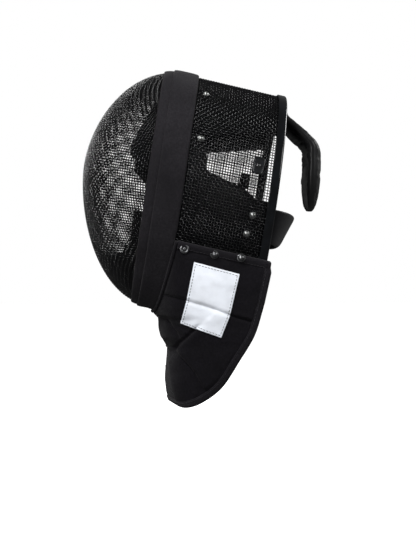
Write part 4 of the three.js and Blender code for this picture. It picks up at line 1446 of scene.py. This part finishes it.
def strap_points(angle, share, lift):
    """Points of the strap by angle round the head, share of its width, and lift outwards."""
    end = skin(STRAP_TURN + turns_of(STRAP_WIDTH) * share, SIDE_LENGTH - RIM_WIDTH / 2, rim_in - LAP)
    angle = np.radians(angle)
    curl = STRAP_CURL * np.clip(1 - np.minimum(share, 1 - share) / STRAP_CURL_SHARE, 0, 1) ** 2
    bulge = STRAP_BULGE + (STRAP_LOW_BULGE - STRAP_BULGE) * share + lift - curl
    x = (end[..., 0] + lift) * np.sin(angle) / math.sin(math.radians(STRAP_END_ANGLE))
    return points_of(x, end[..., 1] + bulge * np.cos(angle), end[..., 2] - STRAP_DIP * np.cos(angle))


strap_angles = np.linspace(-STRAP_END_ANGLE, STRAP_END_ANGLE, 121)[:, None]
strap_shares = ((np.sin(np.linspace(-math.pi / 2, math.pi / 2, 33)) + 1) / 2)[None, :]
from_edge = np.minimum(strap_shares, 1 - strap_shares) * STRAP_WIDTH
bound = STRAP_BINDING * np.exp(-(((from_edge - STRAP_EDGE / 2) / (STRAP_EDGE / 2)) ** 4))
round_off = STRAP_WALL / 2 * (1 - np.sqrt(1 - (1 - np.clip(from_edge / STRAP_WALL, 0, 1)) ** 2))
outer = strap_points(strap_angles, strap_shares, bound - round_off)
inner = strap_points(strap_angles, strap_shares, round_off - STRAP_WALL - bound)
strap = loft_from("back_strap_webbing", np.concatenate([outer, inner[:, ::-1]], axis=1))
placed(strap, "strap", strap_cloth, "back_strap")

# %% [markdown]
# ## Rivets and snaps
#
# Steel heads fix the linings and the bib through the net. A head is half a ball, pressed flat, on
# a thin brim: a sphere is cut in half, its open edge is drawn out into the brim and turned down,
# and the bottom is filled. It is modelled once at size 1 and copied, and each copy is turned to
# the surface that it sits on. The bib's front fixing is a snap: a rolled eyelet round a button.

# %% Heads
RIVET_RADIUS = 3.6
RIVET_HEIGHT = 2.8
BIB_RIVET_RADIUS = 4.6
BIB_RIVET_HEIGHT = 3.6
BRIM = 1.22  # brim over dome
BRIM_DROP = 0.16
HEAD_EDGE = 0.04


def edit(piece, mode):
    select_only(piece)
    bpy.ops.object.mode_set(mode="EDIT")
    bpy.ops.mesh.select_mode(type=mode)


def head(name):
    """A domed head on a brim, one unit in radius and height, standing on Z = 0."""
    deselect()
    bpy.ops.mesh.primitive_uv_sphere_add(segments=32, ring_count=18, radius=1 / BRIM)
    piece = bpy.context.object
    piece.name = piece.data.name = name
    edit(piece, "EDGE")
    bpy.ops.mesh.select_all(action="SELECT")
    bpy.ops.mesh.bisect(plane_co=(0, 0, 0), plane_no=(0, 0, 1), clear_inner=True)
    bpy.ops.mesh.extrude_edges_move()
    bpy.ops.transform.resize(value=(BRIM, BRIM, 1))
    bpy.ops.mesh.extrude_edges_move(TRANSFORM_OT_translate={"value": (0, 0, -BRIM_DROP)})
    bpy.ops.mesh.edge_face_add()
    bpy.ops.mesh.select_all(action="SELECT")
    bpy.ops.mesh.normals_make_consistent(inside=False)
    bpy.ops.transform.translate(value=(0, 0, BRIM_DROP))
    bpy.ops.object.mode_set(mode="OBJECT")
    bevelled(piece, HEAD_EDGE, 2, 50)
    bpy.ops.object.shade_smooth()
    return piece


def stand(at, ahead, out):
    """A turned frame: its Z is out and its X is ahead, as near as can be."""
    out = Vector(out).normalized()
    ahead = (Vector(ahead) - out * out.dot(Vector(ahead))).normalized()
    turned = Matrix((ahead, out.cross(ahead), out)).transposed().to_4x4()
    return Matrix.Translation(Vector(at) * MM) @ turned


def copy_of(model, name, moved):
    """A copy of a model with its own mesh, moved and stretched by a matrix."""
    piece = model.copy()
    piece.data = model.data.copy()
    piece.name = piece.data.name = name
    bpy.context.scene.collection.objects.link(piece)
    piece.data.transform(moved)
    return piece


def copy_at(model, name, frame_at, size):
    """A copy of a unit model, stretched to a size in millimetres and stood in a frame."""
    return copy_of(model, name, frame_at @ Matrix.Diagonal((*(Vector(size) * MM), 1)))


def joined(model, part):
    """Adds a part's mesh to a model's."""
    deselect()
    part.select_set(True)
    model.select_set(True)
    bpy.context.view_layer.objects.active = model
    bpy.ops.object.join()


def net_stand(turn, depth, sign, lift):
    at = skin(sign * turn, depth, lift)
    ahead = skin(sign * turn, depth + 1, lift) - at
    out = np.cross(skin(sign * turn + sign, depth, lift) - at, ahead) * sign
    return stand(at, ahead, out)


def cloth_stand(node, sign, lift):
    """A frame on the tape or the bib, under the middle of a solid."""
    low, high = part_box(node)
    middle = (Vector(low) + Vector(high)) / 2
    start = Vector((sign * 0.2, middle.y, middle.z))
    hits = [tree.ray_cast(start, Vector((-sign, 0, 0))) for tree in (tape_tree, bib_tree)]
    place, lean = min((hit for hit in hits if hit[0]), key=lambda hit: hit[3])[:2]
    lean = (lean + 2 * Vector((sign, 0, 0.15))).normalized()
    return stand(place / MM + lean * lift, (0, 1, -0.2), lean)


tape_tree = BVHTree.FromObject(tape, bpy.context.evaluated_depsgraph_get())
NET_RIVETS = [  # (name, turn, share of the side length)
    ("rivet_crown", 37.6, 0.243),
    ("rivet_temple", 68.3, 0.25),
    ("rivet_rear_upper", 102.9, 0.803),
    ("rivet_rear_lower", 111.8, 0.774),
]
STUD_LIFT = 0.2
rivet_head = head("rivet_head")
rivet_size = (RIVET_RADIUS, RIVET_RADIUS, RIVET_HEIGHT)
bib_rivet_size = (BIB_RIVET_RADIUS, BIB_RIVET_RADIUS, BIB_RIVET_HEIGHT)
for side, sign in (("left", 1), ("right", -1)):
    for name, turn, share in NET_RIVETS:
        where = net_stand(turn, share * SIDE_LENGTH, sign, LAP)
        piece = copy_at(rivet_head, name + "_head_" + side, where, rivet_size)
        placed(piece, "rivet", stud_steel, name + "_" + side)
    for name in ("bib_rivet_front", "bib_rivet_rear"):
        where = cloth_stand(name + "_" + side, sign, STUD_LIFT)
        piece = copy_at(rivet_head, name + "_head_" + side, where, bib_rivet_size)
        placed(piece, "dark_stud", dark_steel, name + "_" + side)

# %% Snaps
SNAP_ROLL = 0.24  # roll of the eyelet, as a share of its radius
SNAP_BUTTON = (0.42, 0.42, 0.3)  # radii and height, as shares of the eyelet's
SNAP_HEIGHT = 2.4
SNAP_RADIUS = 5.2
SNAP_LIFT = 0.9
deselect()
bpy.ops.mesh.primitive_torus_add(
    major_radius=1 - SNAP_ROLL, minor_radius=SNAP_ROLL, major_segments=36, minor_segments=12
)
snap_model = bpy.context.object
snap_model.name = "snap_model"
joined(snap_model, copy_of(rivet_head, "snap_button", Matrix.Diagonal((*SNAP_BUTTON, 1))))
bpy.ops.object.shade_smooth()
for side, sign in (("left", 1), ("right", -1)):
    where = cloth_stand("bib_snap_" + side, sign, SNAP_LIFT)
    piece = copy_at(snap_model, "bib_snap_eyelet_" + side, where, (SNAP_RADIUS, SNAP_RADIUS, SNAP_HEIGHT))
    placed(piece, "dark_stud", dark_steel, "bib_snap_" + side)

# %% [markdown]
# ## Strap plates
#
# A moulded plate on each side of the net takes a strap. It starts as a block: its upright edges
# are rounded, its face is inset and pushed in to leave a raised frame, and a small rivet head sits
# in the middle.

# %% Plates
PLATE_WIDTH = 13
PLATE_HEIGHT = 19
PLATE_WALL = 2.4
PLATE_TURN = 75.7
PLATE_DEPTH = SIDE_LENGTH - RIM_WIDTH - 10 - PLATE_WIDTH / 2
PLATE_CORNER = 2.4
PLATE_FRAME = 1.7
PLATE_SINK = 0.9
PLATE_ROUNDING = 0.7
PLATE_RIVET = (2.3, 2.3, 0.9)  # radii and height
deselect()
bpy.ops.mesh.primitive_cube_add(size=1)
plate_model = bpy.context.object
plate_model.name = "plate_model"
plate_model.data.transform(Matrix.Diagonal((PLATE_WIDTH, PLATE_HEIGHT, PLATE_WALL, 1)))
plate_model.data.transform(Matrix.Translation((0, 0, PLATE_WALL / 2)))
edit(plate_model, "EDGE")
shape = bmesh.from_edit_mesh(plate_model.data)
for edge in shape.edges:
    a, b = edge.verts
    edge.select_set(abs(a.co.z - b.co.z) > PLATE_WALL / 2)
bmesh.update_edit_mesh(plate_model.data)
bpy.ops.mesh.bevel(offset=PLATE_CORNER, segments=5)
bpy.ops.mesh.select_mode(type="FACE")
bpy.ops.mesh.select_all(action="DESELECT")
shape = bmesh.from_edit_mesh(plate_model.data)
for face in shape.faces:
    face.select_set(face.normal.z > 0.9)
bmesh.update_edit_mesh(plate_model.data)
bpy.ops.mesh.inset(thickness=PLATE_FRAME)
bpy.ops.mesh.extrude_region_move(TRANSFORM_OT_translate={"value": (0, 0, -PLATE_SINK)})
bpy.ops.object.mode_set(mode="OBJECT")
bevelled(plate_model, PLATE_ROUNDING, 3, 40)
on_plate = Matrix.Translation((0, 0, PLATE_WALL - PLATE_SINK)) @ Matrix.Diagonal((*PLATE_RIVET, 1))
joined(plate_model, copy_of(rivet_head, "plate_rivet", on_plate))
bpy.ops.object.shade_smooth_by_angle(angle=math.radians(35))
for side, sign in (("left", 1), ("right", -1)):
    where = net_stand(PLATE_TURN, PLATE_DEPTH, sign, LAP)
    piece = copy_at(plate_model, "plate_" + side, where, (1, 1, 1))
    placed(piece, "plate", plate_gloss, "strap_plate_" + side)

for model in (rivet_head, snap_model, plate_model):
    bpy.data.objects.remove(model)
print("heads, snaps and plates placed")

# %% [markdown]
# ## Light and floor
#
# The photograph has a pure white ground and even light, with one broad lamp above and in front. A
# white sky gives the even part; the camera sees it as pure white and the mask gets less of it. The
# floor is plain and pale, under the place where the mask hangs. It glows as white as the sky, and
# bounced rays pass it by, or it would light the mask from below. Square lamps draw the highlights
# on wire and gloss: the key, one level with the mask, one behind it, and two for its other sides.

# %% Light and floor
FLOOR_Z = -451
FLOOR_SIZE = 16000
SKY_LIGHT = 0.17
FLOOR_GLOW = 1  # keeps the floor as white as the sky behind it
world = bpy.data.worlds.new("studio")
bpy.context.scene.world = world
world.use_nodes = True
sky = world.node_tree.nodes["Background"]
seen = world.node_tree.nodes.new("ShaderNodeLightPath")
strength = world.node_tree.nodes.new("ShaderNodeMapRange")
strength.inputs["To Min"].default_value = SKY_LIGHT
strength.inputs["To Max"].default_value = 1
world.node_tree.links.new(seen.outputs["Is Camera Ray"], strength.inputs["Value"])
world.node_tree.links.new(strength.outputs["Result"], sky.inputs["Strength"])
sky.inputs["Color"].default_value = (1, 1, 1, 1)
bpy.context.scene.view_settings.view_transform = "Standard"

floor_even = {"Specular IOR Level": 0, "Emission Color": (1, 1, 1, 1), "Emission Strength": FLOOR_GLOW}
floor_pale = new_finish("floor_pale", (0.7, 0.7, 0.7), 0.95, floor_even)
deselect()
bpy.ops.mesh.primitive_plane_add(size=FLOOR_SIZE * MM, location=(0, 0, FLOOR_Z * MM))
floor = bpy.context.object
floor.name = "floor"
floor.data.materials.append(floor_pale)
floor.visible_diffuse = False
floor.visible_glossy = False


LAMPS = (  # (name, place, size, watts)
    ("key", (900, -700, 1000), 420, 24),
    ("fill", (700, 1000, 400), 400, 8),
    ("level", (1150, -520, 90), 200, 7.5),
    ("right", (-1000, -800, 500), 500, 12),
    ("behind", (-600, 1200, 500), 500, 12),
)


def lamp(name, place, size, watts):
    """A square lamp, aimed at the middle of the mask."""
    data = bpy.data.lights.new(name, "AREA")
    data.energy = watts
    data.size = size * MM
    light = bpy.data.objects.new(name, data)
    light.location = Vector(place) * MM
    light.rotation_euler = (Vector(place) - AIM).to_track_quat("Z", "Y").to_euler()
    bpy.context.scene.collection.objects.link(light)


for row in LAMPS:
    lamp(*row)
print(len(LAMPS), "lamps")
